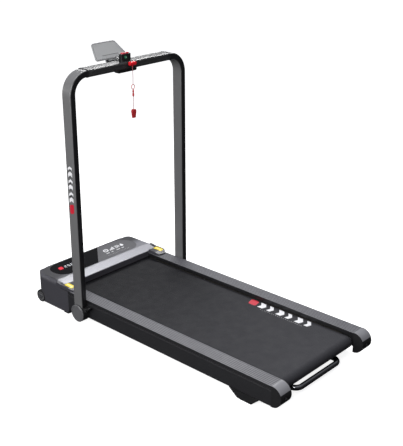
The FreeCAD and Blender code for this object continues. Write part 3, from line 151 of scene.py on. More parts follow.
# ---- materials ----------------------------------------------------------------------
class Graph:
    """A material whose nodes are built by short calls. Lengths are in metres."""

    def __init__(self, name):
        self.material = bpy.data.materials.new(name)
        self.material.use_nodes = True
        self.tree = self.material.node_tree
        self.tree.nodes.clear()
        out = self.tree.nodes.new("ShaderNodeOutputMaterial")
        self.shader = self.tree.nodes.new("ShaderNodeBsdfPrincipled")
        self.tree.links.new(self.shader.outputs[0], out.inputs[0])
        self.where = self.tree.nodes.new("ShaderNodeTexCoord")

    def put(self, socket, value):
        """Links a socket's value, or sets a plain one."""
        if isinstance(value, bpy.types.NodeSocket):
            self.tree.links.new(value, socket)
        else:
            socket.default_value = value

    def node(self, kind, **values):
        """New node, its inputs named with _ for each space."""
        made = self.tree.nodes.new(kind)
        for key, value in values.items():
            self.put(made.inputs[key.replace("_", " ")], value)
        return made

    def math(self, operation, a, b=0.0):
        made = self.tree.nodes.new("ShaderNodeMath")
        made.operation = operation
        self.put(made.inputs[0], a)
        self.put(made.inputs[1], b)
        return made.outputs[0]

    def axis(self, letter, source="Object"):
        """One part of the surface's place, or of its normal."""
        split = self.node("ShaderNodeSeparateXYZ", Vector=self.where.outputs[source])
        return split.outputs[letter]

    def ramp(self, value, low, high, to_low=0.0, to_high=1.0):
        """Straight ramp from low to high, flat beyond them."""
        made = self.tree.nodes.new("ShaderNodeMapRange")
        for key, number in (("Value", value), ("From Min", low), ("From Max", high),
                            ("To Min", to_low), ("To Max", to_high)):
            self.put(made.inputs[key], number)
        return made.outputs[0]

    def noise(self, scale, detail=2.0, stretch=None):
        vector = self.where.outputs["Object"]
        if stretch:
            mapping = self.node("ShaderNodeMapping", Vector=vector)
            mapping.inputs["Scale"].default_value = stretch
            vector = mapping.outputs[0]
        made = self.node("ShaderNodeTexNoise", Vector=vector, Scale=scale, Detail=detail)
        return made.outputs["Fac"]

    def mix(self, factor, a, b):
        made = self.tree.nodes.new("ShaderNodeMix")
        made.data_type = "RGBA"
        self.put(made.inputs[0], factor)
        for socket, value in ((made.inputs[6], a), (made.inputs[7], b)):
            if isinstance(value, bpy.types.NodeSocket):
                self.put(socket, value)
            else:
                socket.default_value = (*value, 1)
        return made.outputs[2]

    def mottle(self, tint, amount, scale, stretch=None):
        """The tint, a little darker and lighter in soft patches."""
        dark = [c * (1 - amount) for c in tint]
        light = [min(1.0, c * (1 + amount)) for c in tint]
        return self.mix(self.noise(scale, 4.0, stretch), dark, light)

    def colour(self, value):
        self.put(self.shader.inputs["Base Color"], value)

    def rough(self, middle, spread, scale=40.0, stretch=None):
        """Roughness that wanders about its middle value."""
        value = self.ramp(self.noise(scale, 3.0, stretch), 0.3, 0.7, middle - spread,
                          middle + spread)
        self.put(self.shader.inputs["Roughness"], value)

    def bump(self, height, distance, strength=0.6, edge=0.0):
        """Relief of the given depth, over edges softened to the given radius."""
        made = self.node("ShaderNodeBump", Height=height, Distance=distance,
                         Strength=strength)
        if edge:
            soft = self.node("ShaderNodeBevel", Radius=edge)
            self.put(made.inputs["Normal"], soft.outputs[0])
        self.put(self.shader.inputs["Normal"], made.outputs[0])

    def fixed(self, **values):
        """Sets values that are the same all over, on the shader's own sockets."""
        for key, value in values.items():
            self.shader.inputs[key.replace("_", " ")].default_value = value
        return self.material


def moulded(name, tint, rough=0.5, coat=0.0, edge=0.0006):
    """Injection-moulded plastic with a fine spark-eroded grain."""
    g = Graph(name)
    g.colour(g.mottle(tint, 0.07, 14.0))
    g.rough(rough, 0.05)
    g.bump(g.noise(900.0, 2.0), 0.00006, 0.5, edge)
    g.fixed(Specular_IOR_Level=0.4, Coat_Weight=coat)
    if coat:
        g.fixed(Coat_Roughness=0.12)
    return g.material


def painted(name, tint, rough=0.42):
    """Powder coat with a faint orange-peel skin."""
    g = Graph(name)
    g.colour(g.mottle(tint, 0.06, 8.0))
    g.rough(rough, 0.05, 60.0)
    g.bump(g.noise(420.0, 2.0), 0.00005, 0.5, 0.0006)
    return g.fixed(Specular_IOR_Level=0.5, Coat_Weight=0.15, Coat_Roughness=0.2)


def metal(name, tint, rough=0.3, stretch=(1, 60, 60), scratch=0.00003):
    """Bare metal with fine drawn or turned lines along one axis."""
    g = Graph(name)
    g.colour(g.mottle(tint, 0.12, 6.0, stretch))
    g.rough(rough, 0.08, 12.0, stretch)
    g.bump(g.noise(18.0, 3.0, stretch), scratch, 0.4, 0.0004)
    return g.fixed(Metallic=1.0)


def rubber(name, tint, rough=0.75):
    """Matt rubber with a dusty, pitted skin."""
    g = Graph(name)
    g.colour(g.mottle(tint, 0.15, 25.0))
    g.rough(rough, 0.08)
    g.bump(g.noise(500.0, 3.0), 0.0001, 0.5, 0.0005)
    return g.fixed(Specular_IOR_Level=0.3)


def belt_surface():
    """Running belt: crossed fine ribs, dust, and painted light that pales it to the rear."""
    rib_pitch = 0.0022
    rear, front = -0.55, 0.30
    g = Graph("belt_surface")
    x, y = g.axis("X"), g.axis("Y")
    turns = 2 * math.pi / rib_pitch
    warp = g.math("SINE", g.math("MULTIPLY", g.math("ADD", x, y), turns))
    weft = g.math("SINE", g.math("MULTIPLY", g.math("SUBTRACT", x, y), turns))
    weave = g.math("MULTIPLY", warp, weft)
    height = g.math("ADD", weave, g.math("MULTIPLY", g.noise(900.0, 2.0), 0.6))
    speck = g.ramp(g.noise(320.0, 3.0), 0.45, 0.72)
    # painted light: the belt's tone runs from a lit rear to a shaded front
    rear_painted_light = g.mottle((0.036, 0.036, 0.041), 0.12, 5.0)
    front_painted_shade = g.mottle((0.006, 0.006, 0.008), 0.12, 5.0)
    body = g.mix(g.ramp(y, rear, front), rear_painted_light, front_painted_shade)
    g.colour(g.mix(g.math("MULTIPLY", speck, 0.20), body, (0.045, 0.045, 0.050)))
    g.rough(0.62, 0.05, 30.0)
    g.bump(height, 0.00012, 0.55)
    return g.fixed(Specular_IOR_Level=0.18)


def rail_surface():
    """Ribbed foot rail: grey on top, with painted shade darkening its grooves and inner lip."""
    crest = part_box("foot_rails")[1].z
    g = Graph("rail_surface")
    z = g.axis("Z")
    # painted shade: the rib grooves and the inner lip below the crest are darkened
    groove_painted_shade = g.ramp(z, crest - 0.00085, crest - 0.00025)
    lip_painted_shade = g.ramp(z, crest - 0.0048, crest - 0.0036)
    top = g.mottle((0.165, 0.165, 0.180), 0.07, 9.0)
    shade = g.mix(groove_painted_shade, (0.008, 0.008, 0.010), top)
    g.colour(g.mix(lip_painted_shade, (0.006, 0.006, 0.007), shade))
    g.rough(0.48, 0.06)
    g.bump(g.noise(900.0, 2.0), 0.00007, 0.5, 0.0004)
    return g.fixed(Specular_IOR_Level=0.4)


def upright_paint():
    """Handrail: satin grey sides and outer curve; painted shade turns its front and back black.
    """
    g = Graph("upright_paint")
    # painted shade: faces turned to the front and back are painted near black
    painted_shade_facing = g.math("ABSOLUTE", g.axis("Y", "Normal"))
    side = g.mottle((0.140, 0.140, 0.143), 0.06, 6.0)
    g.colour(g.mix(g.ramp(painted_shade_facing, 0.45, 0.8), side, (0.007, 0.007, 0.008)))
    g.rough(0.33, 0.04, 50.0)
    g.bump(g.noise(500.0, 2.0), 0.00002, 0.3, 0.006)
    return g.fixed(Specular_IOR_Level=0.5, Coat_Weight=0.5, Coat_Roughness=0.22)


def grip_surface():
    """Smooth foam sleeve with a fine pebbled skin."""
    g = Graph("grip_surface")
    cells = g.node("ShaderNodeTexVoronoi", Vector=g.where.outputs["Object"], Scale=650.0)
    g.colour(g.mottle((0.022, 0.022, 0.023), 0.15, 20.0))
    g.rough(0.34, 0.03, 60.0)
    g.bump(cells.outputs["Distance"], 0.00001, 0.1, 0.018)
    return g.fixed(Specular_IOR_Level=0.6, Coat_Weight=0.6, Coat_Roughness=0.28)


def bezel_surface():
    """Silver trim with painted shade fading it to dark grey at its front and left end."""
    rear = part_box("cover_bezel")[0].y
    g = Graph("bezel_surface")
    flake = g.ramp(g.noise(2600.0, 1.0), 0.35, 0.65)
    silver = g.mix(flake, (0.200, 0.200, 0.223), (0.268, 0.268, 0.294))
    # painted shade: the silver darkens towards the front and the left end
    across = g.math("MULTIPLY", g.axis("X"), 0.12)
    painted_shade_to_front = g.ramp(g.math("SUBTRACT", g.axis("Y"), across), rear + 0.052, rear + 0.097)
    g.colour(g.mix(painted_shade_to_front, silver, (0.055, 0.055, 0.060)))
    g.rough(0.36, 0.04, 60.0)
    g.bump(g.noise(700.0, 2.0), 0.00003, 0.5, 0.0008)
    return g.fixed(Metallic=0.25, Specular_IOR_Level=0.5, Coat_Weight=0.25,
                   Coat_Roughness=0.2)


def tray_plastic():
    """Translucent pale plastic, frosted, darker through its edges."""
    g = Graph("tray_plastic")
    g.colour(g.mottle((0.38, 0.385, 0.39), 0.04, 10.0))
    g.rough(0.42, 0.04)
    g.bump(g.noise(1100.0, 2.0), 0.00004, 0.4, 0.0006)
    return g.fixed(Transmission_Weight=0.45, IOR=1.46, Specular_IOR_Level=0.45)


def window_gloss():
    """Glossy black acrylic, faintly wavy."""
    g = Graph("window_gloss")
    g.colour(g.mottle((0.004, 0.004, 0.005), 0.2, 6.0))
    g.rough(0.10, 0.02, 120.0)
    g.bump(g.noise(60.0, 1.0), 0.00001, 0.2, 0.0004)
    return g.fixed(Specular_IOR_Level=0.35, Coat_Weight=0.2, Coat_Roughness=0.04)


def printed(name, tint, rough=0.45, glow=0.0):
    """Printed or inlaid mark, a little uneven in its ink."""
    g = Graph(name)
    g.colour(g.mottle(tint, 0.06, 180.0))
    g.rough(rough, 0.05, 90.0)
    g.bump(g.noise(1500.0, 2.0), 0.00002, 0.4)
    if glow:
        g.fixed(Emission_Color=(*tint, 1), Emission_Strength=glow)
    return g.material


def braid(name, tint):
    """Twisted yarn, seen as fine diagonal ribs."""
    twist_pitch = 0.0011
    g = Graph(name)
    twist = g.math("SINE", g.math("MULTIPLY", g.math("ADD", g.axis("X"), g.axis("Z")),
                                  2 * math.pi / twist_pitch))
    dark = [c * 0.62 for c in tint]
    g.colour(g.mix(g.ramp(twist, -0.6, 0.8), dark, tint))
    g.rough(0.8, 0.05, 300.0)
    g.bump(twist, 0.0002, 0.8)
    return g.fixed(Sheen_Weight=0.3, Specular_IOR_Level=0.2)


def laminate():
    """Waxed dark deck board with a grain along its length."""
    g = Graph("deck_laminate")
    g.colour(g.mottle((0.035, 0.032, 0.028), 0.25, 12.0, (1, 0.06, 1)))
    g.rough(0.55, 0.06)
    g.bump(g.noise(160.0, 3.0, (1, 0.05, 1)), 0.0001, 0.4)
    return g.fixed(Specular_IOR_Level=0.4)


def circuit_mask():
    """Green solder mask with raised traces."""
    g = Graph("circuit_mask")
    cells = g.node("ShaderNodeTexVoronoi", Vector=g.where.outputs["Object"], Scale=160.0)
    trace = g.ramp(cells.outputs["Distance"], 0.05, 0.12)
    g.colour(g.mix(trace, (0.02, 0.16, 0.06), (0.008, 0.06, 0.028)))
    g.rough(0.35, 0.05)
    g.bump(trace, 0.00005, 0.5)
    return g.fixed(Specular_IOR_Level=0.5)


def cast_iron():
    """Dark cast metal with a sandy skin."""
    g = Graph("flywheel_iron")
    g.colour(g.mottle((0.10, 0.10, 0.105), 0.25, 60.0))
    g.rough(0.55, 0.1, 80.0)
    g.bump(g.noise(350.0, 4.0), 0.0002, 0.5, 0.0008)
    return g.fixed(Metallic=0.9)


def dress_nodes():
    """Gives every CAD node its material."""
    zinc = metal("zinc_plate", (0.50, 0.51, 0.54), 0.34)
    alu = metal("extruded_aluminium", (0.62, 0.63, 0.65), 0.38, (60, 1, 60))
    steel = metal("turned_steel", (0.48, 0.48, 0.50), 0.26)
    frame_paint = painted("frame_paint", (0.020, 0.020, 0.022))
    dark_rubber = rubber("dark_rubber", (0.018, 0.018, 0.018))
    black = moulded("black_plastic", (0.012, 0.012, 0.013), 0.48)
    nylon = moulded("nylon_block", (0.030, 0.030, 0.032), 0.55)
    pod = moulded("pod_plastic", (0.010, 0.010, 0.011), 0.34, coat=0.25)
    red = moulded("clip_red", (0.52, 0.030, 0.038), 0.35, coat=0.3)
    wheel = moulded("wheel_grey", (0.095, 0.095, 0.10), 0.4)
    tyre = rubber("tyre_black", (0.012, 0.012, 0.013), 0.62)
    cord = braid("lanyard_yarn", (0.56, 0.21, 0.23))
    chrome = metal("dark_chrome", (0.17, 0.17, 0.18), 0.16, (1, 30, 30), 0.00001)
    look = {
        "side_beams": frame_paint, "cross_members": frame_paint,
        "motor_bracket": frame_paint, "frame_bolts": zinc, "roller_shafts": zinc,
        "screws": zinc, "wheel_forks": zinc, "wheel_axles": zinc, "hinge_pins": zinc,
        "side_skirts": moulded("skirt_black", (0.016, 0.016, 0.018), 0.5),
        "foot_rails": rail_surface(),
        "rear_corner_blocks": black,
        "rear_corner_shells": moulded("corner_silver", (0.22, 0.22, 0.235), 0.36, coat=0.3),
        "shaft_blocks": nylon, "roller_pulley": nylon, "rear_handle": chrome,
        "rear_feet": black, "foot_pads": dark_rubber, "running_board": laminate(),
        "deck_cushions": dark_rubber, "drive_belt": dark_rubber,
        "running_belt": belt_surface(), "rear_roller": steel, "front_roller": steel,
        "motor_body": painted("motor_paint", (0.03, 0.03, 0.032), 0.35),
        "motor_rotor": steel, "motor_pulley": alu, "heat_sink": alu,
        "motor_flywheel": cast_iron(),
        "circuit_boards": circuit_mask(),
        "motor_cover": moulded("cover_grey", (0.052, 0.051, 0.060), 0.40, coat=0.25,
                               edge=0.0010),
        "cover_bezel": bezel_surface(), "display_window": window_gloss(),
        "icon_panel": moulded("icon_panel_grey", (0.090, 0.090, 0.098), 0.5),
        "base_pan": black,
        "inlet_and_switch_frame": moulded("inlet_black", (0.010, 0.010, 0.011), 0.35),
        "power_switch": moulded("rocker_black", (0.008, 0.008, 0.008), 0.25, coat=0.4),
        "wheel_rim_right": wheel, "wheel_rim_left": wheel,
        "wheel_tyre_right": tyre, "wheel_tyre_left": tyre,
        "handrail_tube": upright_paint(), "grip_sleeve": grip_surface(),
        "grip_rings": black, "hub_housings": black,
        "hub_caps": moulded("hub_grey", (0.115, 0.115, 0.120), 0.34, coat=0.3),
        "latch_lever_right": black, "latch_lever_left": black,
        "control_pod": pod, "console_strap": pod, "key_seat": pod,
        "lower_housing": moulded("housing_black", (0.009, 0.009, 0.010), 0.4),
        "stop_button": moulded("stop_red", (0.60, 0.016, 0.040), 0.33, coat=0.3),
        "start_button": moulded("start_green", (0.012, 0.16, 0.075), 0.35, coat=0.3),
        "device_tray": tray_plastic(),
        "safety_key": moulded("key_red", (0.72, 0.012, 0.022), 0.32, coat=0.35),
        "lanyard_upper_cord": cord, "lanyard_lower_cord": cord,
        "lanyard_hook": red, "clothes_clip": red,
    }
    for name, obj in NODES.items():
        material = look[name]
        if obj.data.materials:
            for i in range(len(obj.data.materials)):
                obj.data.materials[i] = material
        else:
            obj.data.materials.append(material)


# ---- mesh helpers -------------------------------------------------------------------
def link(name, data, material, body):
    """New piece from a mesh or a curve, riding on a body."""
    obj = bpy.data.objects.new(name, data)
    bpy.context.scene.collection.objects.link(obj)
    data.materials.append(material)
    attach(obj, body)
    return obj


def round_line(name, kind, points, radius, bevel):
    """Curve of round section through the points, and its spline."""
    curve = bpy.data.curves.new(name, "CURVE")
    curve.dimensions = "3D"
    curve.bevel_depth = radius
    curve.bevel_resolution = bevel
    curve.use_fill_caps = True
    spline = curve.splines.new(kind)
    spline.points.add(len(points) - 1)
    for point, place in zip(spline.points, points):
        point.co = (*place, 1)
    return curve, spline


def rounded(points, radius, steps=5):
    """Outline with each corner rounded."""
    outline = []
    count = len(points)
    for i, point in enumerate(points):
        corner = Vector(point)
        before = Vector(points[i - 1]) - corner
        after = Vector(points[(i + 1) % count]) - corner
        reach = min(radius, 0.45 * before.length, 0.45 * after.length)
        start = corner + before.normalized() * reach
        stop = corner + after.normalized() * reach
        for k in range(steps + 1):
            t = k / steps
            outline.append((1 - t) ** 2 * start + 2 * t * (1 - t) * corner + t ** 2 * stop)
    return outline


def ring_points(radius, count=28, centre=(0, 0)):
    """Points evenly round a circle."""
    return [Vector((centre[0] + radius * math.cos(2 * math.pi * i / count),
                    centre[1] + radius * math.sin(2 * math.pi * i / count)))
            for i in range(count)]


def rectangle(x0, y0, x1, y1):
    return [(x0, y0), (x1, y0), (x1, y1), (x0, y1)]


class Sheet:
    """Thin marks gathered in one mesh, laid on a CAD node's surface along a direction."""

    def __init__(self, node, place, lift=0.00012):
        """place maps a flat point to (start of the ray, its direction)."""
        source = NODES[node].data
        self.tree = BVHTree.FromPolygons([v.co for v in source.vertices],
                                         [tuple(p.vertices) for p in source.polygons])
        self.place, self.lift = place, lift
        self.bm = bmesh.new()

    def add(self, outline, hole=None, cuts=2):
        """Adds a filled outline, or the band between an outline and a hole of equal count."""
        bm = bmesh.new()
        outer = [bm.verts.new((p[0], p[1], 0)) for p in outline]
        if hole:
            inner = [bm.verts.new((p[0], p[1], 0)) for p in hole]
            n = len(outer)
            for i in range(n):
                bm.faces.new((outer[i], outer[(i + 1) % n], inner[(i + 1) % n], inner[i]))
        else:
            bm.faces.new(outer)
            bmesh.ops.triangulate(bm, faces=bm.faces[:])
        if cuts:
            bmesh.ops.subdivide_edges(bm, edges=bm.edges[:], cuts=cuts, use_grid_fill=True)
        for vert in bm.verts:
            start, direction = self.place(vert.co.x, vert.co.y)
            hit, normal, _, _ = self.tree.ray_cast(Vector(start), Vector(direction))
            vert.co = (hit if hit else Vector(start)) - Vector(direction) * self.lift
        mesh = bpy.data.meshes.new("part")
        bm.to_mesh(mesh)
        bm.free()
        self.bm.from_mesh(mesh)
        bpy.data.meshes.remove(mesh)

    def finish(self, name, material, body):
        """Makes the marks gathered so far one piece."""
        mesh = bpy.data.meshes.new(name)
        bmesh.ops.recalc_face_normals(self.bm, faces=self.bm.faces[:])
        self.bm.to_mesh(mesh)
        self.bm.free()
        return link(name, mesh, material, body)


def down(height):
    """Rays that fall from a height."""
    return lambda x, y: ((x, y, height), (0, 0, -1))


# ---- lanyard ------------------------------------------------------------------------
def lanyard_cord(name, route, material):
    """One cord of the lanyard along its route."""
    curve, spline = round_line(name, "NURBS", route, CORD_D / 2, 3)
    spline.order_u = 3
    spline.use_endpoint_u = True
    spline.resolution_u = 12
    obj = link(name, curve, material, "safety_key")
    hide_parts("lanyard_" + name.split("_")[0] + "_cord")


def make_lanyard():
    """Cord from the key to the hook's ring, and cord from the hook to the clip."""
    yarn = braid("lanyard_braid", (0.56, 0.21, 0.23))
    lanyard_cord("upper_lanyard", UPPER_ROUTE, yarn)
    lanyard_cord("lower_lanyard", LOWER_ROUTE, yarn)


# ---- marks and trim -----------------------------------------------------------------
def make_arm_labels():
    """Plain yellow stickers with a pale band on the cover's arms."""
    yellow = printed("label_yellow", (0.86, 0.66, 0.03), 0.4)
    pale = printed("label_pale", (0.86, 0.80, 0.42), 0.4)
    low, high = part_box("motor_cover")
    y = low.y + 0.0455
    for side, name in ((-1, "left"), (1, "right")):
        x = side * (high.x - 0.019)
        sheet = Sheet("motor_cover", down(OVER_DECK), 0.0004)
        sheet.add(rounded(rectangle(x - 0.011, y - 0.028, x + 0.011, y + 0.014), 0.004), cuts=9)
        sheet.finish("arm_label_" + name, yellow, "frame")
        band = Sheet("motor_cover", down(OVER_DECK), 0.0007)
        band.add(rounded(rectangle(x - 0.003, y - 0.022, x + 0.003, y + 0.009), 0.002), cuts=9)
        band.finish("arm_label_band_" + name, pale, "frame")


def lean(points, x, y, slant=0.25):
    """The outline moved to (x, y) and slanted to the right."""
    return [(x + px + py * slant, y + py) for px, py in points]


def seven_segment(sheet, x, y, width, height, lit, slant=0.18):
    """One digit as slanted bars: a top, g middle, d bottom, f b upper, e c lower sides."""
    t = height * 0.15
    gap = t * 0.18
    half = height / 2
    bars = {"a": (0, height - t, width, height), "b": (width - t, half, width, height),
            "c": (width - t, 0, width, half), "d": (0, 0, width, t), "e": (0, 0, t, half),
            "f": (0, half, t, height), "g": (0, half - t / 2, width, half + t / 2)}
    for key in lit:
        x0, y0, x1, y1 = bars[key]
        bar = rectangle(x0 + gap, y0 + gap, x1 - gap, y1 - gap)
        sheet.add(rounded(lean(bar, x, y, slant), t * 0.2, 2), cuts=1)


def make_window_readout():
    """Lit figures behind the gloss window, with a red lamp beside them."""
    white = printed("readout_white", (0.85, 0.87, 0.90), 0.3, 0.35)
    red = printed("readout_red", (0.62, 0.02, 0.04), 0.3, 0.25)
    low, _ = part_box("display_window")
    x, y, slant = low.x + 0.033, low.y + 0.059, 0.006
    lamp = Sheet("display_window", down(OVER_DECK))
    lamp.add(rounded([(x, y), (x + 0.021, y), (x + 0.021 + slant, y + 0.024),
                      (x + slant, y + 0.024)], 0.008))
    lamp.finish("readout_lamp", red, "frame")
    figures = Sheet("display_window", down(OVER_DECK))
    zero, two, five = "abcdef", "abged", "afgcd"
    for i, lit in enumerate((two, five, zero, zero)):
        seven_segment(figures, x + 0.031 + i * 0.017, y + 0.003, 0.011, 0.018, lit)
    figures.add(ring_points(0.0016, 12, (x + 0.0655, y + 0.005)), cuts=0)
    figures.finish("readout_figures", white, "frame")


def clock_icon(sheet, x, y):
    face = ring_points(0.0135, 24)
    sheet.add(lean(face, x, y), lean([p * 0.62 for p in face], x, y), cuts=0)
    sheet.add(lean(rectangle(-0.0012, 0, 0.0012, 0.008), x, y), cuts=0)
    sheet.add(lean(rectangle(0, -0.0012, 0.006, 0.0012), x, y), cuts=0)


def bars_icon(sheet, x, y):
    foot = -0.013
    for k, tall in enumerate((0.009, 0.014, 0.020, 0.026)):
        left = -0.013 + k * 0.0070
        sheet.add(lean(rectangle(left, foot, left + 0.0048, foot + tall), x, y))


def arrows_icon(sheet, x, y):
    for k in range(3):
        left = -0.011 + k * 0.008
        sheet.add(lean([(left, -0.012), (left + 0.004, -0.012), (left + 0.010, 0.0),
                        (left + 0.004, 0.012), (left, 0.012), (left + 0.006, 0.0)], x, y),
                  cuts=0)


def drop_icon(sheet, x, y):
    drop = [(0, 0.014), (-0.0075, 0.002), (-0.009, -0.005), (-0.005, -0.011),
            (0.0, -0.0125), (0.005, -0.011), (0.009, -0.005), (0.0075, 0.002)]
    sheet.add(lean(drop, x, y), cuts=0)


def make_icons():
    """Row of plain white symbols on the matt panel, over dashes and a line of small dots."""
    white = printed("icon_white", (0.80, 0.80, 0.82), 0.45)
    sheet = Sheet("icon_panel", down(OVER_DECK))
    low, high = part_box("icon_panel")
    for icon, inset in ((clock_icon, 0.148), (bars_icon, 0.117), (arrows_icon, 0.086),
                        (drop_icon, 0.058)):
        icon(sheet, high.x - inset, low.y + 0.069)
    y, tall, slant = low.y + 0.040, 0.0045, 0.001
    for i, wide in enumerate((0.018, 0.011, 0.020, 0.014)):
        x = high.x - 0.168 + i * 0.029
        sheet.add(rounded([(x, y), (x + wide, y), (x + wide + slant, y + tall),
                           (x + slant, y + tall)], 0.001, 2), cuts=1)
    for i in range(14):
        dot = (high.x - 0.172 + i * 0.0088, low.y + 0.022)
        sheet.add(ring_points(0.0013, 8, dot), cuts=0)
    sheet.finish("panel_icons", white, "frame")


def print_slab(points, x, y, wide, slant):
    """Points run across (0 to 1 from the inner edge outwards) and back along the belt."""
    return [(x + px * wide, y - py - (1 - px) * wide * slant) for px, py in points]


def make_belt_marks():
    """Plain red lozenge and white slanted chevrons printed along the belt's right side."""
    white = printed("belt_print_white", (0.72, 0.72, 0.74), 0.55)
    red = printed("belt_print_red", (0.50, 0.010, 0.030), 0.55)
    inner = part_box("running_belt")[1].x - 0.0415
    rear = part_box("foot_rails")[0].y
    wide, slant, lift = 0.0375, 0.22, 0.00008
    lozenge = Sheet("running_belt", down(OVER_DECK), lift)
    lozenge.add(rounded(print_slab([(0, 0), (1, 0), (1, 0.037), (0, 0.037)], inner,
                                   rear + 0.4645, wide, slant), 0.011), cuts=3)
    lozenge.finish("belt_print_red", red, "frame")
    marks = Sheet("running_belt", down(OVER_DECK), lift)
    for i in range(6):
        bar = 0.017 if i % 2 else 0.024
        marks.add(print_slab([(0, 0), (0.5, 0.010), (1, 0), (1, bar), (0.5, bar + 0.010),
                              (0, bar)], inner, rear + 0.4185 - i * 0.044, wide, slant),
                  cuts=1)
    for i in range(22):
        dot = (inner - 0.0095, rear + 0.3855 - i * 0.0092)
        marks.add(ring_points(0.0012, 8, dot), cuts=0)
    marks.finish("belt_print_white", white, "frame")


def make_upright_mark():
    """Plain red block with white chevrons above it, up the left upright's outer face."""
    white = printed("upright_print_white", (0.80, 0.80, 0.82), 0.4)
    red = printed("upright_print_red", (0.55, 0.010, 0.030), 0.4)
    low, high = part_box("handrail_tube")
    y0, y1, z = low.y + 0.016, high.y - 0.011, high.z - 0.525
    middle, slant, lift = (y0 + y1) / 2, 0.006, 0.0001

    def from_left(u, v):
        return (low.x - 0.1065, u, v), (1, 0, 0)

    block = Sheet("handrail_tube", from_left, lift)
    block.add(rounded([(y0, z), (y1, z - slant), (y1, z + 0.030), (y0, z + 0.030 + slant)],
                      0.006), cuts=2)
    block.finish("upright_print_red", red, "handrail")
    marks = Sheet("handrail_tube", from_left, lift)
    for i in range(6):
        foot = z + 0.042 + i * 0.0250
        top = foot + (0.010 if i % 2 else 0.015)
        marks.add([(y0, foot), (middle, foot + slant), (y1, foot - slant / 2),
                   (y1, top - slant / 2), (middle, top + slant), (y0, top)], cuts=1)
    marks.finish("upright_print_white", white, "handrail")


def make_button_symbols():
    """Square on the stop key and triangle on the start key."""
    white = printed("symbol_white", (0.75, 0.75, 0.75), 0.4)
    low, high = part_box("stop_button")
    x, y = (low.x + high.x) / 2, (low.y + high.y) / 2
    half, hole = 0.0034, 0.0024
    square = Sheet("stop_button", down(OVER_BAR))
    square.add(rectangle(x - half, y - half, x + half, y + half),
               rectangle(x - hole, y - hole, x + hole, y + hole))
    square.finish("stop_symbol", white, "stop_button")
    low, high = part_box("start_button")
    x, z = (low.x + high.x) / 2, (low.z + high.z) / 2
    arrow = Sheet("start_button", lambda u, v: ((u, low.y - 0.11, v), (0, 1, 0)))
    arrow.add(rounded([(x - 0.0017, z - 0.0024), (x + 0.0025, z), (x - 0.0017, z + 0.0024)],
                      0.0005, 2), cuts=1)
    arrow.finish("start_symbol", white, "start_button")


def tray_point(across, along, above):
    """Point on the leant tray: across, along and above it from the middle of its hinge."""
    turn = Matrix.Rotation(TRAY_LEAN, 3, "X")
    return HINGE + turn @ Vector((across, along, above))


def make_tray_trim():
    """Moulded bead round the tray's face and a rubber ledge strip near its foot."""
    grey = moulded("tray_bead", (0.20, 0.20, 0.21), 0.4, coat=0.1)
    outline = rounded([(-0.0765, 0.006), (0.0765, 0.006), (0.0535, 0.0755), (-0.0535, 0.0755)],
                      0.012, 6)
    rim, spline = round_line("tray_bead", "POLY",
                             [tray_point(p.x, p.y, 0.0086) for p in outline], 0.0016, 2)
    spline.use_cyclic_u = True
    link("tray_bead", rim, grey, "tray")
    grip = rubber("tray_grip", (0.10, 0.10, 0.10), 0.7)
    strip, _ = round_line("tray_grip_0", "POLY",
                          [tray_point(x, 0.020, 0.0089) for x in (-0.040, 0.0, 0.040)],
                          0.0010, 2)
    link("tray_grip_0", strip, grip, "tray")


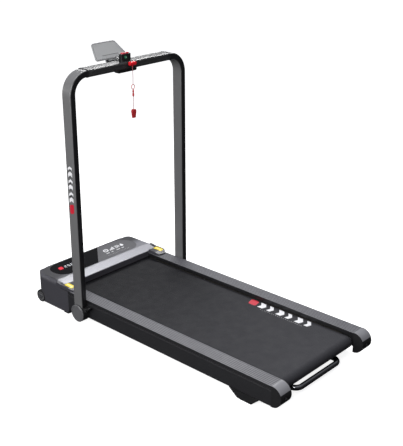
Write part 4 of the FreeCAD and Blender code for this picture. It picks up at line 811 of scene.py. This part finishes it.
def screw_head(name, place, normal, radius, material, body):
    """Button head with a hexagon socket, its seat at place."""
    sunk = 0.0012
    count = 24
    angles = [2 * math.pi * i / count for i in range(count)]
    profile = [(radius, -sunk), (radius, 0.0), (radius * 0.92, radius * 0.28),
               (radius * 0.62, radius * 0.5)]
    rings = [[(r * math.cos(a), r * math.sin(a), z) for a in angles] for r, z in profile]
    for z in (radius * 0.5, radius * 0.05):
        socket = []
        for a in angles:
            local = (a % (math.pi / 3)) - math.pi / 6
            r = radius * 0.42 * math.cos(math.pi / 6) / math.cos(local)
            socket.append((r * math.cos(a), r * math.sin(a), z))
        rings.append(socket)
    bm = bmesh.new()
    rings = [[bm.verts.new(point) for point in ring] for ring in rings]
    for a, b in zip(rings, rings[1:]):
        for i in range(count):
            bm.faces.new((a[i], a[(i + 1) % count], b[(i + 1) % count], b[i]))
    bm.faces.new(rings[-1])
    bm.faces.new(list(reversed(rings[0])))
    bmesh.ops.recalc_face_normals(bm, faces=bm.faces[:])
    mesh = bpy.data.meshes.new(name)
    bm.to_mesh(mesh)
    bm.free()
    turn = Vector(normal).to_track_quat("Z", "Y").to_matrix().to_4x4()
    mesh.transform(Matrix.Translation(Vector(place)) @ turn)
    link(name, mesh, material, body)


def make_screws():
    """Screws of the base pan and of the console's strap."""
    black_steel = metal("black_oxide", (0.05, 0.05, 0.055), 0.4)
    low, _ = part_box("base_pan")
    for i, x in enumerate((-0.15, 0.0, 0.15)):
        screw_head("pan_screw_%d" % i, (x, low.y + 0.05, low.z), (0, 0, -1), 0.004,
                   black_steel, "frame")
    low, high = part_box("console_strap")
    for i, x in enumerate((low.x + 0.047, low.x + 0.065)):
        screw_head("strap_screw_%d" % i, (x, high.y - 0.0115, low.z + 0.008), (0, 1, 0),
                   0.0028, black_steel, "handrail")


def make_pan_vents():
    """Slots of the base pan, under the motor, as dark sheets of painted shade."""
    # painted shade: near-black sheets stand in for the shade inside the slots
    dark = printed("vent_painted_shade", (0.004, 0.004, 0.004), 0.8)
    low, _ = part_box("base_pan")
    sheet = Sheet("base_pan", lambda u, v: ((u, v, low.z - 0.111), (0, 0, 1)))
    for row in range(2):
        for i in range(9):
            x = low.x + 0.098 + i * 0.018
            y = low.y + 0.095 + row * 0.055
            sheet.add(rounded(rectangle(x, y, x + 0.006, y + 0.042), 0.003, 3), cuts=0)
    sheet.finish("pan_vents", dark, "frame")


def main():
    bpy.context.scene.view_settings.view_transform = "Standard"
    make_camera()
    make_lanyard()
    make_world()
    make_floor()
    area_light("overhead", (-0.2, 0.0, 2.9), (-0.2, 0.0, 0.0), (2.0, 1.0), 26.0)
    area_light("streak", (1.60, 1.60, 2.40), (0.0, 0.3, 1.0), (1.5, 0.38), 46.0)
    area_light("key", (-2.4, -1.3, 1.9), (0.0, -0.1, 0.3), (1.3, 1.3), 62.0)
    area_light("side", (-3.0, 0.9, 1.0), (0.0, 0.3, 0.5), (1.2, 1.6), 34.0)
    area_light("rim", (-1.4, 3.1, 1.1), (0.0, 0.4, 0.4), (1.4, 0.8), 12.0)
    dress_nodes()
    make_arm_labels()
    make_window_readout()
    make_icons()
    make_belt_marks()
    make_upright_mark()
    make_button_symbols()
    make_tray_trim()
    make_screws()
    make_pan_vents()


main()
